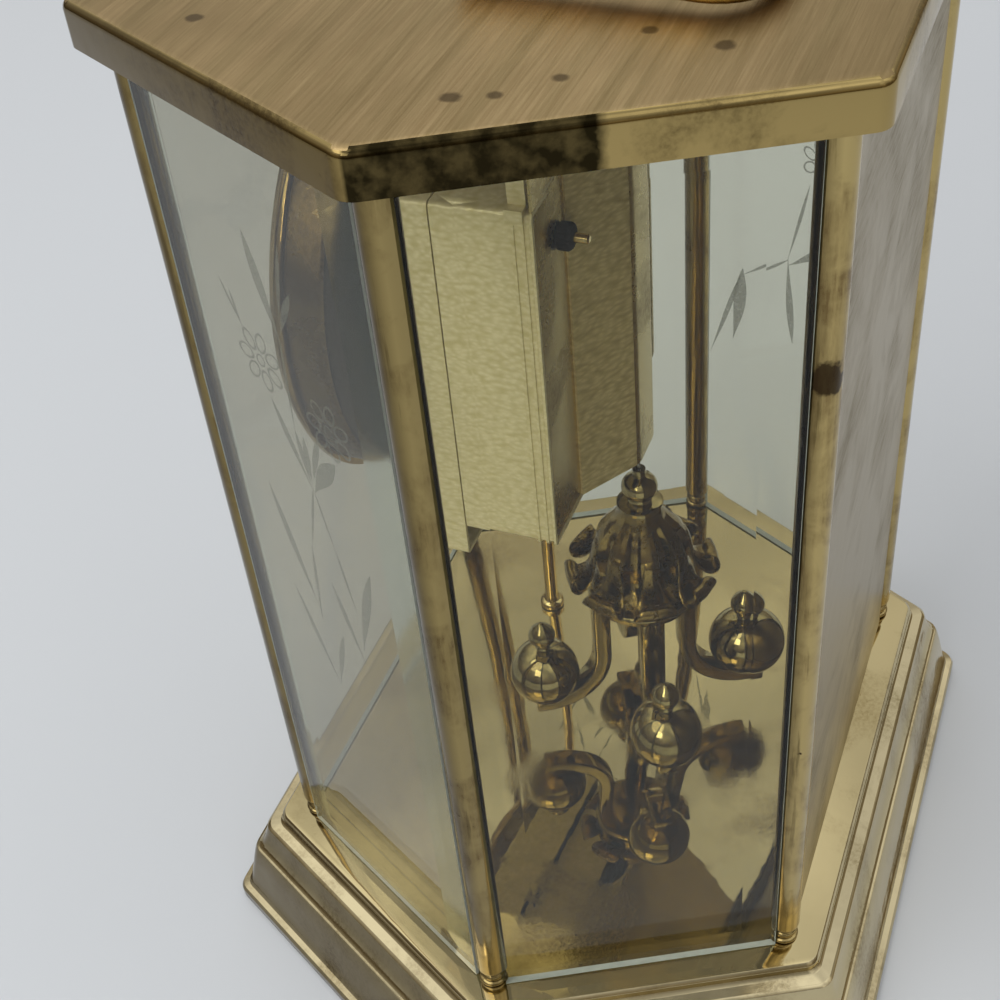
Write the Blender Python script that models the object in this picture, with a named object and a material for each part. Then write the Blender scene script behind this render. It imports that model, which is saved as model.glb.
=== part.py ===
"""Anniversary clock: a glazed six-sided brass case with a torsion pendulum.

Lengths are in metres. +Z is up and -Y is the dial side. The origin lies in the middle of the
underside of the base. The plan is a hexagon that is stretched along X: two long sides, front and
rear, and two shorter sides at each end.
"""
import math

import bmesh
import bpy
from mathutils import Matrix, Vector

# Clearances and cutting
gap = 0.0003
overrun = 0.0012
merge_distance = 0.00001

# Plan of the case, taken at the post centres
long_side_half = 0.0493
case_half_depth = 0.0547
case_half_width = 0.0781

# Base: a hollow moulding over a board that is faced with felt
base_height = 0.0272
base_wall = 0.0012
platform_overhang = 0.0078
foot_overhang = 0.0204
platform_corner_radius = 0.0018
foot_corner_radius = 0.0046
board_thickness = 0.0055
board_recess = 0.0006
felt_thickness = 0.0010
felt_inset = 0.0020

# Posts
post_height = 0.1939
post_radius = 0.0032
post_foot_radius = 0.0027
post_foot_height = 0.0042
post_spigot_radius = 0.0017
post_spigot_length = 0.0030
post_facets = 14
groove_depth = 0.0011

# Glass
glass_thickness = 0.0030
bevel_width = 0.0075
bevel_depth = 0.0013

# Lid and the plate that it is screwed down on
frame_thickness = 0.0030
frame_corner_radius = 0.0022
lid_wall = 0.0012
lid_skirt = 0.0075
lid_overhang = 0.0075
lid_corner_radius = 0.0034
lid_edge_radius = 0.0016
screw_radius = 0.0011
screw_length = 0.0065
screw_head_radius = 0.0026
screw_head_height = 0.0015

# Rear door
door_wall = 0.0009
door_depth = 0.0040
door_edge_radius = 0.0007
door_side_gap = 0.0011
door_foot_gap = 0.0006
door_pin_radius = 0.0009
door_pin_reach = 0.0032
door_pin_tail = 0.0030
door_axis_inset = 0.0024
door_axis_recess = 0.0004
notch_radius = 0.0060
notch_bite = 0.0016
stop_width = 0.0080
stop_drop = 0.0085
stop_thickness = 0.0010
stop_foot = 0.0045

# Carrying handle
handle_half_span = 0.0312
pillar_flange_radius = 0.0052
pillar_flange_height = 0.0012
pillar_neck_radius = 0.0026
pillar_body_radius = 0.0034
pillar_height = 0.0098
handle_axis_height = 0.0050
handle_pin_radius = 0.0013
handle_pin_bite = 0.0040
handle_rod_radius = 0.0025
handle_grip_radius = 0.0031
handle_reach = 0.0420
handle_flare = 0.0028
handle_corner_radius = 0.0085
handle_stud_radius = 0.0018
handle_nut_radius = 0.0037
handle_nut_height = 0.0024

# Movement case, carried behind the dial on two thin columns
column_x = 0.0295
column_y = -0.0253
column_radius = 0.0016
column_collar_radius = 0.0030
column_collar_height = 0.0022
column_spigot_radius = 0.0008
column_nut_radius = 0.0024
column_nut_height = 0.0014
tray_half_width = 0.0320
tray_bottom = 0.0770
tray_headroom = 0.0359
tray_front = -0.0300
tray_rear = -0.0153
cover_lift = 0.0073
cover_rear = 0.00275
cover_corner_radius = 0.0012
sheet = 0.0010
cover_lip = 0.0085
guard_foot_half = 0.0170
guard_tip_half = 0.0045
guard_reach = 0.0085
guard_lift = 0.0005
knob_hole_x = 0.0205
knob_hole_drop = 0.0108
knob_hole_radius = 0.0018
clip_height = 0.0050
clip_depth = 0.0032
clip_thickness = 0.0007
clip_drop = 0.0020

# Quartz movement
movement_half_width = 0.0280
movement_foot_room = 0.0126
movement_headroom = 0.0060
movement_rear = -0.0030
movement_corner_radius = 0.0015
battery_radius = 0.00715
battery_length = 0.0490
battery_nub_radius = 0.0027
battery_nub_length = 0.0013
battery_bay_wall = 0.0020
setting_knob_radius = 0.0030
setting_knob_height = 0.0030
setting_stub_radius = 0.0009
setting_stub_length = 0.0024
setting_knob_flutes = 16
setting_flute_depth = 0.0003

# Dial
dial_drop = 0.0274
drum_radius = 0.0460
drum_depth = 0.0072
drum_wall = 0.0012
drum_edge_radius = 0.0008
dial_ledge = 0.0020
dial_ledge_depth = 0.0044
dial_thickness = 0.0008
bezel_depth = 0.0033
bezel_overhang = 0.0013
bezel_cover = 0.0020
bush_radius = 0.0040
bush_bore = 0.0031
dial_nut_radius = 0.0066
dial_nut_height = 0.0011

# Hands
hour_tube_radius = 0.0026
hour_bore = 0.0016
hour_boss_radius = 0.0035
hour_length = 0.0250
minute_shaft_radius = 0.0011
minute_boss_radius = 0.0027
minute_length = 0.0370
hand_thickness = 0.0005
hand_boss_height = 0.0012
hand_nut_radius = 0.0019
hand_nut_height = 0.0016
shown_hours = 10
shown_minutes = 10

# Torsion pendulum
pendulum_y = 0.0092
ball_radius = 0.0080
ball_circle_radius = 0.0234
ball_height = 0.0218
ball_turn_degrees = 29.0
finial_radius = 0.0031
finial_neck_radius = 0.0015
finial_height = 0.0078
arm_half_thickness = 0.0014
arm_half_width = 0.0028
arm_drop_radius = 0.0098
arm_top = 0.0460
arm_stud_radius = 0.0009
arm_stud_tail = 0.0016
hub_radius = 0.0122
hub_thickness = 0.0026
crown_height = 0.0225
crown_flare_radius = 0.0172
crown_neck_radius = 0.0046
crown_leaves = 8
crown_leaf_depth = 0.0050
pendulum_rod_radius = 0.0014
pendulum_drop = 0.0330
pendulum_tip_radius = 0.0026
knob_disc_radius = 0.0050
knob_radius = 0.0039
knob_height = 0.0098
wire_radius = 0.00035
wire_stop_radius = 0.0014
wire_stop_height = 0.0016
bracket_half_width = 0.0040
bracket_thickness = 0.0015
bracket_front = -0.0240
bracket_beyond = 0.0040

# Heights that follow from the sizes above
platform_z = base_height
post_top = platform_z + gap + post_height
frame_bottom = post_top + gap
frame_top = frame_bottom + frame_thickness
lid_inside = frame_top + gap
lid_top = lid_inside + lid_wall
skirt_bottom = lid_top - lid_skirt
hub_top = platform_z + arm_top
crown_base = hub_top + gap
crown_top = crown_base + crown_height
tray_top = post_height - tray_headroom
cover_bottom = tray_bottom + cover_lift
cover_front = tray_rear + gap
knob_hole_height = tray_top - knob_hole_drop
movement_bottom = tray_bottom + movement_foot_room
movement_top = tray_top - movement_headroom
dial_z = platform_z + tray_top - dial_drop
drum_rear = tray_front - gap
bracket_z = platform_z + tray_top + gap


def clear_scene():
    """Removes whatever the scene holds."""
    for item in list(bpy.data.objects):
        bpy.data.objects.remove(item, do_unlink=True)


def material(name, colour, roughness, metallic=0.0, transmission=0.0):
    """Makes a plain material of one colour."""
    made = bpy.data.materials.get(name) or bpy.data.materials.new(name)
    made.use_nodes = True
    shader = made.node_tree.nodes["Principled BSDF"]
    shader.inputs["Base Color"].default_value = (*colour, 1.0)
    shader.inputs["Roughness"].default_value = roughness
    shader.inputs["Metallic"].default_value = metallic
    shader.inputs["Transmission Weight"].default_value = transmission
    made.diffuse_color = (*colour, 1.0)
    return made


def polished_brass(name):
    """Polished brass, a little tarnished."""
    return material(name, (0.60, 0.47, 0.22), 0.22, 1.0)


def brushed_brass(name):
    """Brass sheet with a brushed or grained face."""
    return material(name, (0.56, 0.45, 0.25), 0.42, 1.0)


def steel(name):
    """Bright steel of screws and wire."""
    return material(name, (0.62, 0.62, 0.60), 0.30, 1.0)


def clear_glass(name):
    """Clear plate glass."""
    return material(name, (0.90, 0.95, 0.93), 0.03, 0.0, 1.0)


def dark_plastic(name):
    """Matte black moulded plastic."""
    return material(name, (0.03, 0.03, 0.035), 0.55)


def finish(name, bm, look, origin=None, smooth_degrees=35.0):
    """Turns a bmesh drawn in world space into an object whose origin lies at the given point."""
    bmesh.ops.remove_doubles(bm, verts=bm.verts, dist=merge_distance)
    bmesh.ops.recalc_face_normals(bm, faces=bm.faces)
    place = Vector(origin) if origin else Vector((0, 0, 0))
    bmesh.ops.translate(bm, verts=bm.verts, vec=-place)
    mesh = bpy.data.meshes.new(name)
    bm.to_mesh(mesh)
    bm.free()
    mesh.shade_smooth()
    mesh.set_sharp_from_angle(angle=math.radians(smooth_degrees))
    made = bpy.data.objects.new(name, mesh)
    made.location = place
    bpy.context.scene.collection.objects.link(made)
    if look:
        mesh.materials.append(look)
    return made


def helper(name, bm):
    """Makes a cutting body that is no part of the clock."""
    made = finish(name, bm, None)
    made.hide_render = True
    made.display_type = "WIRE"
    return made


def boolean(target, tool, operation):
    """Cuts a helper out of a piece, or joins it on."""
    change = target.modifiers.new(operation.lower(), "BOOLEAN")
    change.operation = operation
    change.solver = "EXACT"
    change.object = tool


def loft(bm, rings, closed=False):
    """Joins rings of equal point counts. Open ends are capped unless the rings form a loop."""
    loops = [[bm.verts.new(point) for point in ring] for ring in rings]
    pairs = list(zip(loops, loops[1:]))
    if closed:
        pairs.append((loops[-1], loops[0]))
    for low, high in pairs:
        count = len(low)
        for i in range(count):
            j = (i + 1) % count
            bm.faces.new((low[i], low[j], high[j], high[i]))
    if not closed:
        bm.faces.new(list(reversed(loops[0])))
        bm.faces.new(loops[-1])


def circle(radius, count, height, turn=0.0):
    """Points of a level circle about the Z axis."""
    angles = [turn + 2 * math.pi * i / count for i in range(count)]
    return [Vector((radius * math.cos(a), radius * math.sin(a), height)) for a in angles]


def turned(bm, profile, count, frame=None, closed=False):
    """Turns a profile of radius and height about the Z axis, then moves it by a frame."""
    rings = [circle(radius, count, height) for radius, height in profile]
    if frame is not None:
        rings = [[frame @ point for point in ring] for ring in rings]
    loft(bm, rings, closed)


def rod(bm, radius, start, end, count):
    """A plain cylinder between two points."""
    a = Vector(start)
    b = Vector(end)
    turn = (b - a).to_track_quat("Z", "Y").to_matrix().to_4x4()
    turned(bm, [(radius, 0), (radius, (b - a).length)], count, Matrix.Translation(a) @ turn)


def box(bm, low, high):
    """A block between two corners."""
    rings = []
    for z in (low[2], high[2]):
        ring = [(low[0], low[1], z), (high[0], low[1], z), (high[0], high[1], z), (low[0], high[1], z)]
        rings.append([Vector(point) for point in ring])
    loft(bm, rings)


def facing_front(x, y, z):
    """A frame whose Z axis points at the front, for pieces turned about the hands' axis."""
    return Matrix.Translation((x, y, z)) @ Matrix.Rotation(math.radians(90), 4, "X")


def tube(bm, points, radii, count, start_side, flat_share=1.0):
    """Sweeps a circle or a flat oval of changing size along a path, without twist."""
    side = Vector(start_side)
    rings = []
    for i, point in enumerate(points):
        before = points[max(i - 1, 0)]
        after = points[min(i + 1, len(points) - 1)]
        along = (after - before).normalized()
        side = (side - along * side.dot(along)).normalized()
        across = along.cross(side)
        angles = [2 * math.pi * k / count for k in range(count)]
        ways = [side * math.cos(a) + across * (flat_share * math.sin(a)) for a in angles]
        rings.append([point + way * radii[i] for way in ways])
    loft(bm, rings)


# Plan: the hexagon of the posts, and outlines drawn round it
def plan_corners(offset=0.0):
    """The six corners, anticlockwise from the front right post, moved outwards by an offset."""
    posts = [
        Vector((long_side_half, -case_half_depth)),
        Vector((case_half_width, 0)),
        Vector((long_side_half, case_half_depth)),
        Vector((-long_side_half, case_half_depth)),
        Vector((-case_half_width, 0)),
        Vector((-long_side_half, -case_half_depth)),
    ]
    moved = []
    for i, here in enumerate(posts):
        arriving = (here - posts[i - 1]).normalized()
        leaving = (posts[(i + 1) % 6] - here).normalized()
        out_a = Vector((arriving.y, -arriving.x))
        out_b = Vector((leaving.y, -leaving.x))
        moved.append(here + (out_a + out_b) * (offset / (1 + out_a.dot(out_b))))
    return moved


def rounded_outline(corners, radius, height, steps):
    """A ring round a convex outline with rounded corners, at one height."""
    ring = []
    for i, here in enumerate(corners):
        to_before = (corners[i - 1] - here).normalized()
        to_after = (corners[(i + 1) % len(corners)] - here).normalized()
        half_angle = to_before.angle(to_after) / 2
        centre = here + (to_before + to_after).normalized() * (radius / math.sin(half_angle))
        start = -to_before.orthogonal().normalized()
        if start.dot(here - centre) < 0:
            start = -start
        end = to_after.orthogonal().normalized()
        if end.dot(here - centre) < 0:
            end = -end
        for k in range(steps + 1):
            mix = k / steps
            direction = start.slerp(end, mix)
            point = centre + direction * radius
            ring.append(Vector((point.x, point.y, height)))
    return ring


def hexagon(offset, radius, height, steps=2):
    """A ring of the case's plan, moved outwards by an offset."""
    return rounded_outline(plan_corners(offset), radius, height, steps)


def oblong(half_x, low, high, radius, y, steps=2):
    """An upright rounded rectangle that faces the front, as a ring at one depth."""
    corners = [Vector((half_x, low)), Vector((half_x, high)), Vector((-half_x, high)), Vector((-half_x, low))]
    flat = rounded_outline(corners, radius, 0, steps)
    return [Vector((point.x, y, point.y)) for point in flat]


# Base
# Shares of the way from the platform's edge to the foot's edge, and of the height above the table
moulding_shares = [
    (1.00, 0.00), (1.00, 0.085), (0.965, 0.115), (0.85, 0.13), (0.82, 0.165), (0.77, 0.25),
    (0.68, 0.44), (0.61, 0.57), (0.585, 0.60), (0.54, 0.61), (0.42, 0.70), (0.345, 0.79),
    (0.31, 0.85), (0.27, 0.875), (0.10, 0.885), (0.05, 0.91), (0.05, 0.965), (0.00, 1.00),
]


def moulding_ring(reach_share, height_share, wall):
    """One ring of the base, or of its inside when a wall is given."""
    offset = platform_overhang + (foot_overhang - platform_overhang) * reach_share - wall
    radius = platform_corner_radius + (foot_corner_radius - platform_corner_radius) * reach_share
    lift = base_height * height_share
    if height_share > 0:
        lift = lift - wall
    return hexagon(offset, radius, board_recess + lift * (base_height - board_recess) / base_height)


def base_shell():
    """Hollow brass base: a flat platform for the case, then a stepped moulding down to the foot."""
    bm = bmesh.new()
    inside = [moulding_ring(reach, height, base_wall) for reach, height in reversed(moulding_shares)]
    outside = [moulding_ring(reach, height, 0) for reach, height in moulding_shares]
    loft(bm, [*inside, *outside])
    made = finish("base_shell", bm, polished_brass("base_brass"))
    holes = bmesh.new()
    low = platform_z - base_wall - overrun - post_spigot_length
    for corner in plan_corners():
        rod(holes, post_spigot_radius + gap, (*corner, low), (*corner, platform_z + overrun), 12)
    for x in (-column_x, column_x):
        foot = (x, column_y)
        rod(holes, column_spigot_radius + gap, (*foot, low), (*foot, platform_z + overrun), 10)
    pivot = door_axis()
    rod(holes, door_pin_radius + gap, (*pivot, low), (*pivot, platform_z + overrun), 10)
    boolean(made, helper("cut_base_holes", holes), "DIFFERENCE")
    return made


def base_board():
    """Pressed board that fills the foot of the base and stiffens it."""
    offset = foot_overhang - base_wall - gap
    low = felt_thickness + gap
    bm = bmesh.new()
    inset = (foot_overhang - platform_overhang) * (1 - moulding_shares[4][0])
    loft(bm, [
        hexagon(offset - inset, foot_corner_radius, low),
        hexagon(offset - inset, foot_corner_radius, low + board_thickness / 2),
        hexagon(offset - inset - board_recess, foot_corner_radius, low + board_thickness),
    ])
    return finish("base_board", bm, material("board", (0.20, 0.13, 0.08), 0.80))


def base_felt():
    """Felt on the underside, on which the clock stands."""
    bm = bmesh.new()
    inset = (foot_overhang - platform_overhang) * (1 - moulding_shares[4][0])
    offset = foot_overhang - base_wall - inset - felt_inset
    loft(bm, [hexagon(offset, foot_corner_radius, 0), hexagon(offset, foot_corner_radius, felt_thickness)])
    return finish("base_felt", bm, material("felt", (0.05, 0.10, 0.07), 0.95))


# Posts and glass
post_names = ("front_right", "right_tip", "rear_right", "rear_left", "left_tip", "front_left")


def post(index):
    """Round post with a turned foot, a riveting spigot and a groove for each pane beside it."""
    corners = plan_corners()
    here = corners[index]
    low = platform_z + gap
    step = post_foot_height / 4
    profile = [
        (post_spigot_radius, low - post_spigot_length),
        (post_spigot_radius, low),
        (post_foot_radius + gap, low),
        (post_foot_radius + gap, low + step / 2),
        (post_foot_radius, low + step),
        (post_foot_radius, low + 3 * step),
        (post_radius, low + post_foot_height),
        (post_radius, post_top),
    ]
    bm = bmesh.new()
    turned(bm, profile, post_facets, Matrix.Translation((*here, 0)))
    made = finish(f"post_{post_names[index]}", bm, polished_brass("post_brass"))
    cut = bmesh.new()
    half = glass_thickness / 2 + gap
    for other in ((index + 1) % 6, index - 1):
        if {index, other % 6} == {2, 3}:
            continue
        away = (corners[other] - here).normalized()
        turn = Matrix.Translation((*here, 0)) @ Matrix.Rotation(math.atan2(away.y, away.x), 4, "Z")
        block = bmesh.new()
        reach = post_radius - groove_depth
        box(block, (reach, -half, low - overrun), (post_radius + overrun, half, post_top + overrun))
        block.transform(turn)
        spare = bpy.data.meshes.new("spare")
        block.to_mesh(spare)
        block.free()
        cut.from_mesh(spare)
        bpy.data.meshes.remove(spare)
    boolean(made, helper(f"cut_grooves_{index}", cut), "DIFFERENCE")
    hole = bmesh.new()
    rod(hole, screw_radius + gap, (*here, post_top - screw_length), (*here, post_top + overrun), 10)
    boolean(made, helper(f"cut_thread_{index}", hole), "DIFFERENCE")
    return made


def pane(name, index):
    """Bevelled glass pane between one post and the next, standing on the platform."""
    corners = plan_corners()
    a = corners[index]
    b = corners[(index + 1) % 6]
    along = (b - a).normalized()
    middle = (a + b) / 2
    half = (b - a).length / 2 - post_radius + groove_depth - gap
    low = platform_z + gap
    high = frame_bottom - gap
    depth = glass_thickness / 2
    rings = []
    for y, inset in ((depth, 0), (bevel_depth - depth, 0), (-depth, bevel_width)):
        ring = [
            (-half + inset, y, low + inset), (half - inset, y, low + inset),
            (half - inset, y, high - inset), (-half + inset, y, high - inset),
        ]
        rings.append([Vector(point) for point in ring])
    bm = bmesh.new()
    loft(bm, rings)
    bm.transform(Matrix.Translation((*middle, 0)) @ Matrix.Rotation(math.atan2(along.y, along.x), 4, "Z"))
    return finish(name, bm, clear_glass("glass"))


# Lid
def top_frame():
    """Plate screwed to the six posts, which carries the lid, the handle and the door's upper pin."""
    offset = lid_overhang - lid_wall - gap
    bm = bmesh.new()
    loft(bm, [
        hexagon(offset, frame_corner_radius, frame_bottom),
        hexagon(offset, frame_corner_radius, frame_top),
    ])
    made = finish("top_frame", bm, brushed_brass("frame_brass"))
    holes = bmesh.new()
    seat = frame_top - screw_head_height - gap
    for corner in plan_corners():
        profile = [
            (screw_radius + gap, frame_bottom - overrun),
            (screw_radius + gap, seat),
            (screw_head_radius + gap, seat),
            (screw_head_radius + gap, frame_top + overrun),
        ]
        turned(holes, profile, 12, Matrix.Translation((*corner, 0)))
    for x in (-handle_half_span, handle_half_span):
        rod(holes, handle_stud_radius + gap, (x, 0, frame_bottom - overrun), (x, 0, frame_top + overrun), 12)
    pivot = door_axis()
    rod(holes, door_pin_radius + gap, (*pivot, frame_bottom - overrun), (*pivot, frame_top + overrun), 10)
    boolean(made, helper("cut_frame_holes", holes), "DIFFERENCE")
    return made


def lid():
    """Pressed lid with a rounded top edge and a skirt that hides the plate and the post heads."""
    bm = bmesh.new()
    inner = lid_overhang - lid_wall
    rings = [
        hexagon(inner, lid_corner_radius - lid_wall, lid_inside),
        hexagon(inner, lid_corner_radius - lid_wall, skirt_bottom),
        hexagon(lid_overhang, lid_corner_radius, skirt_bottom),
    ]
    for k in range(4):
        angle = math.radians(90 * k / 3)
        inset = lid_edge_radius * (1 - math.cos(angle))
        height = lid_top - lid_edge_radius * (1 - math.sin(angle))
        rings.append(hexagon(lid_overhang - inset, lid_corner_radius, height))
    loft(bm, rings)
    made = finish("lid", bm, brushed_brass("lid_brass"))
    holes = bmesh.new()
    for x in (-handle_half_span, handle_half_span):
        rod(holes, handle_stud_radius + gap, (x, 0, lid_inside - overrun), (x, 0, lid_top + overrun), 12)
    boolean(made, helper("cut_lid_holes", holes), "DIFFERENCE")
    return made


def frame_screw(index):
    """Cheese-head screw that holds the plate down on one post."""
    corner = plan_corners()[index]
    seat = frame_top - screw_head_height
    profile = [
        (screw_radius, seat - screw_length),
        (screw_radius, seat),
        (screw_head_radius, seat),
        (screw_head_radius, frame_top),
    ]
    bm = bmesh.new()
    turned(bm, profile, 10, Matrix.Translation((*corner, 0)))
    return finish(f"frame_screw_{post_names[index]}", bm, steel("screw_steel"))


# Rear door
def door_half_width():
    """Half of the width that the door fills between the rear posts."""
    return long_side_half - post_radius - door_side_gap


def door_axis():
    """Where the door's pins stand in plan, inside its left edge as seen from the front."""
    return (door_axis_inset - door_half_width(), case_half_depth - door_axis_recess)


def door_ring(inset, y, radius):
    """An outline of the door at one depth."""
    low = platform_z + door_foot_gap + inset
    high = skirt_bottom - door_foot_gap - inset
    return oblong(door_half_width() - inset, low, high, radius, y, 1)


def rear_door():
    """Grained sheet door, folded at its edges, with a thumb notch at the free edge."""
    outer = case_half_depth + door_depth / 2
    inner = case_half_depth - door_depth / 2
    bm = bmesh.new()
    loft(bm, [
        door_ring(door_wall, outer - door_wall, gap),
        door_ring(door_wall, inner, gap),
        door_ring(0, inner, door_edge_radius),
        door_ring(0, outer - door_edge_radius, door_edge_radius),
        door_ring(door_edge_radius, outer, door_edge_radius),
    ])
    pivot = door_axis()
    made = finish("rear_door", bm, brushed_brass("door_brass"), (*pivot, platform_z))
    low = platform_z + door_foot_gap
    high = skirt_bottom - door_foot_gap
    cut = bmesh.new()
    for z in (low, high):
        rod(cut, door_pin_radius + gap, (*pivot, z - overrun), (*pivot, z + overrun), 10)
    edge = door_half_width() + notch_radius - notch_bite
    middle = (low + high) / 2
    rod(cut, notch_radius, (edge, inner - overrun, middle), (edge, outer + overrun, middle), 24)
    boolean(made, helper("cut_door", cut), "DIFFERENCE")
    return made


def door_pin(name, edge, way, tip):
    """Hinge pin with a head inside the door, reaching out of its upper or lower edge."""
    axis = door_axis()
    inside = edge - way * (door_wall + gap)
    profile = [
        (door_pin_radius + gap, -way * door_pin_tail + inside),
        (door_pin_radius + gap, inside),
        (door_pin_radius, inside),
        (door_pin_radius, tip),
    ]
    bm = bmesh.new()
    turned(bm, profile, 10, Matrix.Translation((*axis, 0)))
    return finish(name, bm, steel("pin_steel"), (*axis, edge))


def door_stop():
    """Small angle under the top plate that the door closes against."""
    x = door_half_width() - stop_width
    rear = case_half_depth - door_depth / 2 - gap
    top = frame_bottom - gap
    outline = [
        (rear - stop_foot, top), (rear - stop_foot, top - stop_thickness),
        (rear - stop_thickness, top - stop_thickness), (rear - stop_thickness, top - stop_drop),
        (rear, top - stop_drop), (rear, top),
    ]
    rings = [[Vector((side, y, z)) for y, z in outline] for side in (x - stop_width / 2, x + stop_width / 2)]
    bm = bmesh.new()
    loft(bm, rings)
    return finish("door_stop", bm, brushed_brass("stop_brass"))


# Handle
def handle_pillar(name, side):
    """Turned pillar with a cross hole for the handle's pin and a stud through the lid and plate."""
    x = side * handle_half_span
    low = lid_top + gap
    stud_end = frame_bottom - handle_nut_height - gap
    waist = pillar_flange_height + (handle_axis_height - pillar_body_radius)
    profile = [
        (handle_stud_radius, stud_end), (handle_stud_radius, low),
        (pillar_flange_radius, low), (pillar_flange_radius, low + pillar_flange_height),
        (pillar_neck_radius, low + waist), (pillar_body_radius, low + waist + gap),
        (pillar_body_radius, low + pillar_height - pillar_body_radius / 2),
        (pillar_neck_radius, low + pillar_height - pillar_body_radius / 6),
        (pillar_neck_radius / 3, low + pillar_height),
    ]
    bm = bmesh.new()
    turned(bm, profile, 16, Matrix.Translation((x, 0, 0)))
    made = finish(name, bm, polished_brass("handle_brass"))
    cut = bmesh.new()
    z = lid_top + handle_axis_height
    inner = x + side * (pillar_body_radius - handle_pin_bite - gap)
    rod(cut, handle_pin_radius + gap, (inner, 0, z), (x + side * (pillar_body_radius + overrun), 0, z), 12)
    boolean(made, helper(f"cut_{name}", cut), "DIFFERENCE")
    return made


def handle_nut(name, side):
    """Hexagon nut on a handle stud, under the top plate."""
    bore = handle_stud_radius + gap
    top = frame_bottom - gap
    low = top - handle_nut_height
    x = side * handle_half_span
    rings = [circle(bore, 6, low), circle(bore, 6, top), circle(handle_nut_radius, 6, top)]
    rings.append(circle(handle_nut_radius, 6, low))
    bm = bmesh.new()
    loft(bm, rings, closed=True)
    bm.transform(Matrix.Translation((x, 0, 0)))
    return finish(name, bm, steel("nut_steel"))


def handle_bail():
    """Round bail that swings on two pins and lies on the lid behind them."""
    arm_x = handle_half_span + pillar_body_radius + gap + handle_rod_radius
    tilt = math.asin((handle_axis_height - handle_grip_radius - gap) / handle_reach)
    path = [Vector((-arm_x, -handle_rod_radius, 0)), Vector((-arm_x, 0, 0))]
    straight = handle_reach - handle_corner_radius
    wide = arm_x + handle_flare
    path.append(Vector((-(arm_x + wide) / 2, straight / 2, 0)))
    for side in (-1, 1):
        centre = Vector((side * (wide - handle_corner_radius), straight, 0))
        start = 180 if side < 0 else 90
        for k in range(6):
            angle = math.radians(start - 90 * k / 5)
            path.append(centre + Vector((math.cos(angle), math.sin(angle), 0)) * handle_corner_radius)
        if side < 0:
            for share in (0.30, 0.50, 0.70):
                x = (2 * share - 1) * (wide - handle_corner_radius)
                path.append(Vector((x, handle_reach, 0)))
    path.append(Vector(((arm_x + wide) / 2, straight / 2, 0)))
    path.append(Vector((arm_x, 0, 0)))
    path.append(Vector((arm_x, -handle_rod_radius, 0)))
    radii = []
    for point in path:
        middle = 1 - min(1, abs(point.x) / (wide - handle_corner_radius))
        full = handle_rod_radius + (handle_grip_radius - handle_rod_radius) * min(1, 2 * middle)
        radii.append(full)
    radii[0] = handle_rod_radius / 2
    radii[-1] = handle_rod_radius / 2
    frame = Matrix.Translation((0, 0, lid_top + handle_axis_height)) @ Matrix.Rotation(-tilt, 4, "X")
    bm = bmesh.new()
    tube(bm, path, radii, 10, (0, 0, 1))
    bm.transform(frame)
    made = finish("handle_bail", bm, polished_brass("bail_brass"), frame.translation)
    pins = bmesh.new()
    for side in (-1, 1):
        tip = handle_half_span + pillar_body_radius - handle_pin_bite
        rod(pins, handle_pin_radius, (side * tip, 0, 0), (side * arm_x, 0, 0), 12)
    pins.transform(frame)
    boolean(made, helper("join_bail_pins", pins), "UNION")
    return made


# Columns and movement case
def column(name, side):
    """Thin column with a collar at its foot, from the platform to the movement's tray."""
    low = platform_z + gap
    top = platform_z + tray_bottom - gap
    nut = column_nut_height + base_wall + 2 * gap
    profile = [
        (column_spigot_radius, low - nut), (column_spigot_radius, low),
        (column_collar_radius, low), (column_collar_radius, low + column_collar_height / 2),
        (column_radius, low + column_collar_height), (column_radius, top),
        (column_spigot_radius, top), (column_spigot_radius, top + sheet + 2 * gap),
    ]
    bm = bmesh.new()
    turned(bm, profile, 12, Matrix.Translation((side * column_x, column_y, 0)))
    return finish(name, bm, polished_brass("column_brass"))


def column_nut(name, side):
    """Nut on a column's lower end, under the platform."""
    bore = column_spigot_radius + gap
    top = platform_z - base_wall - gap
    low = top - column_nut_height
    rings = [circle(bore, 6, low), circle(bore, 6, top), circle(column_nut_radius, 6, top)]
    rings.append(circle(column_nut_radius, 6, low))
    bm = bmesh.new()
    loft(bm, rings, closed=True)
    bm.transform(Matrix.Translation((side * column_x, column_y, 0)))
    return finish(name, bm, steel("column_nut_steel"))


def tray(name, look, bottom, back, mouth):
    """An open sheet tray: its floor at one depth and its mouth at another."""
    way = 1 if mouth > back else -1
    low = platform_z + bottom
    high = platform_z + tray_top
    inner = cover_corner_radius - sheet / 2
    floor = back + way * sheet
    edge = cover_corner_radius / 2
    bm = bmesh.new()
    loft(bm, [
        oblong(tray_half_width - sheet, low + sheet, high - sheet, inner, floor),
        oblong(tray_half_width - sheet, low + sheet, high - sheet, inner, mouth),
        oblong(tray_half_width, low, high, cover_corner_radius, mouth),
        oblong(tray_half_width, low, high, cover_corner_radius, back + way * edge),
        oblong(tray_half_width - edge, low + edge, high - edge, cover_corner_radius, back),
    ])
    return finish(name, bm, look)


def movement_frame():
    """Front half of the movement case, which the dial drum and the columns are fixed to."""
    made = tray("movement_frame", brushed_brass("tray_brass"), tray_bottom, tray_front, tray_rear)
    cut = bmesh.new()
    rod(cut, bush_radius + gap, (0, tray_front - overrun, dial_z), (0, tray_front + sheet + overrun, dial_z), 20)
    floor = platform_z + tray_bottom
    for x in (-column_x, column_x):
        foot = (x, column_y)
        rod(cut, column_spigot_radius + gap, (*foot, floor - overrun), (*foot, floor + sheet + overrun), 10)
    boolean(made, helper("cut_tray", cut), "DIFFERENCE")
    return made


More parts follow.
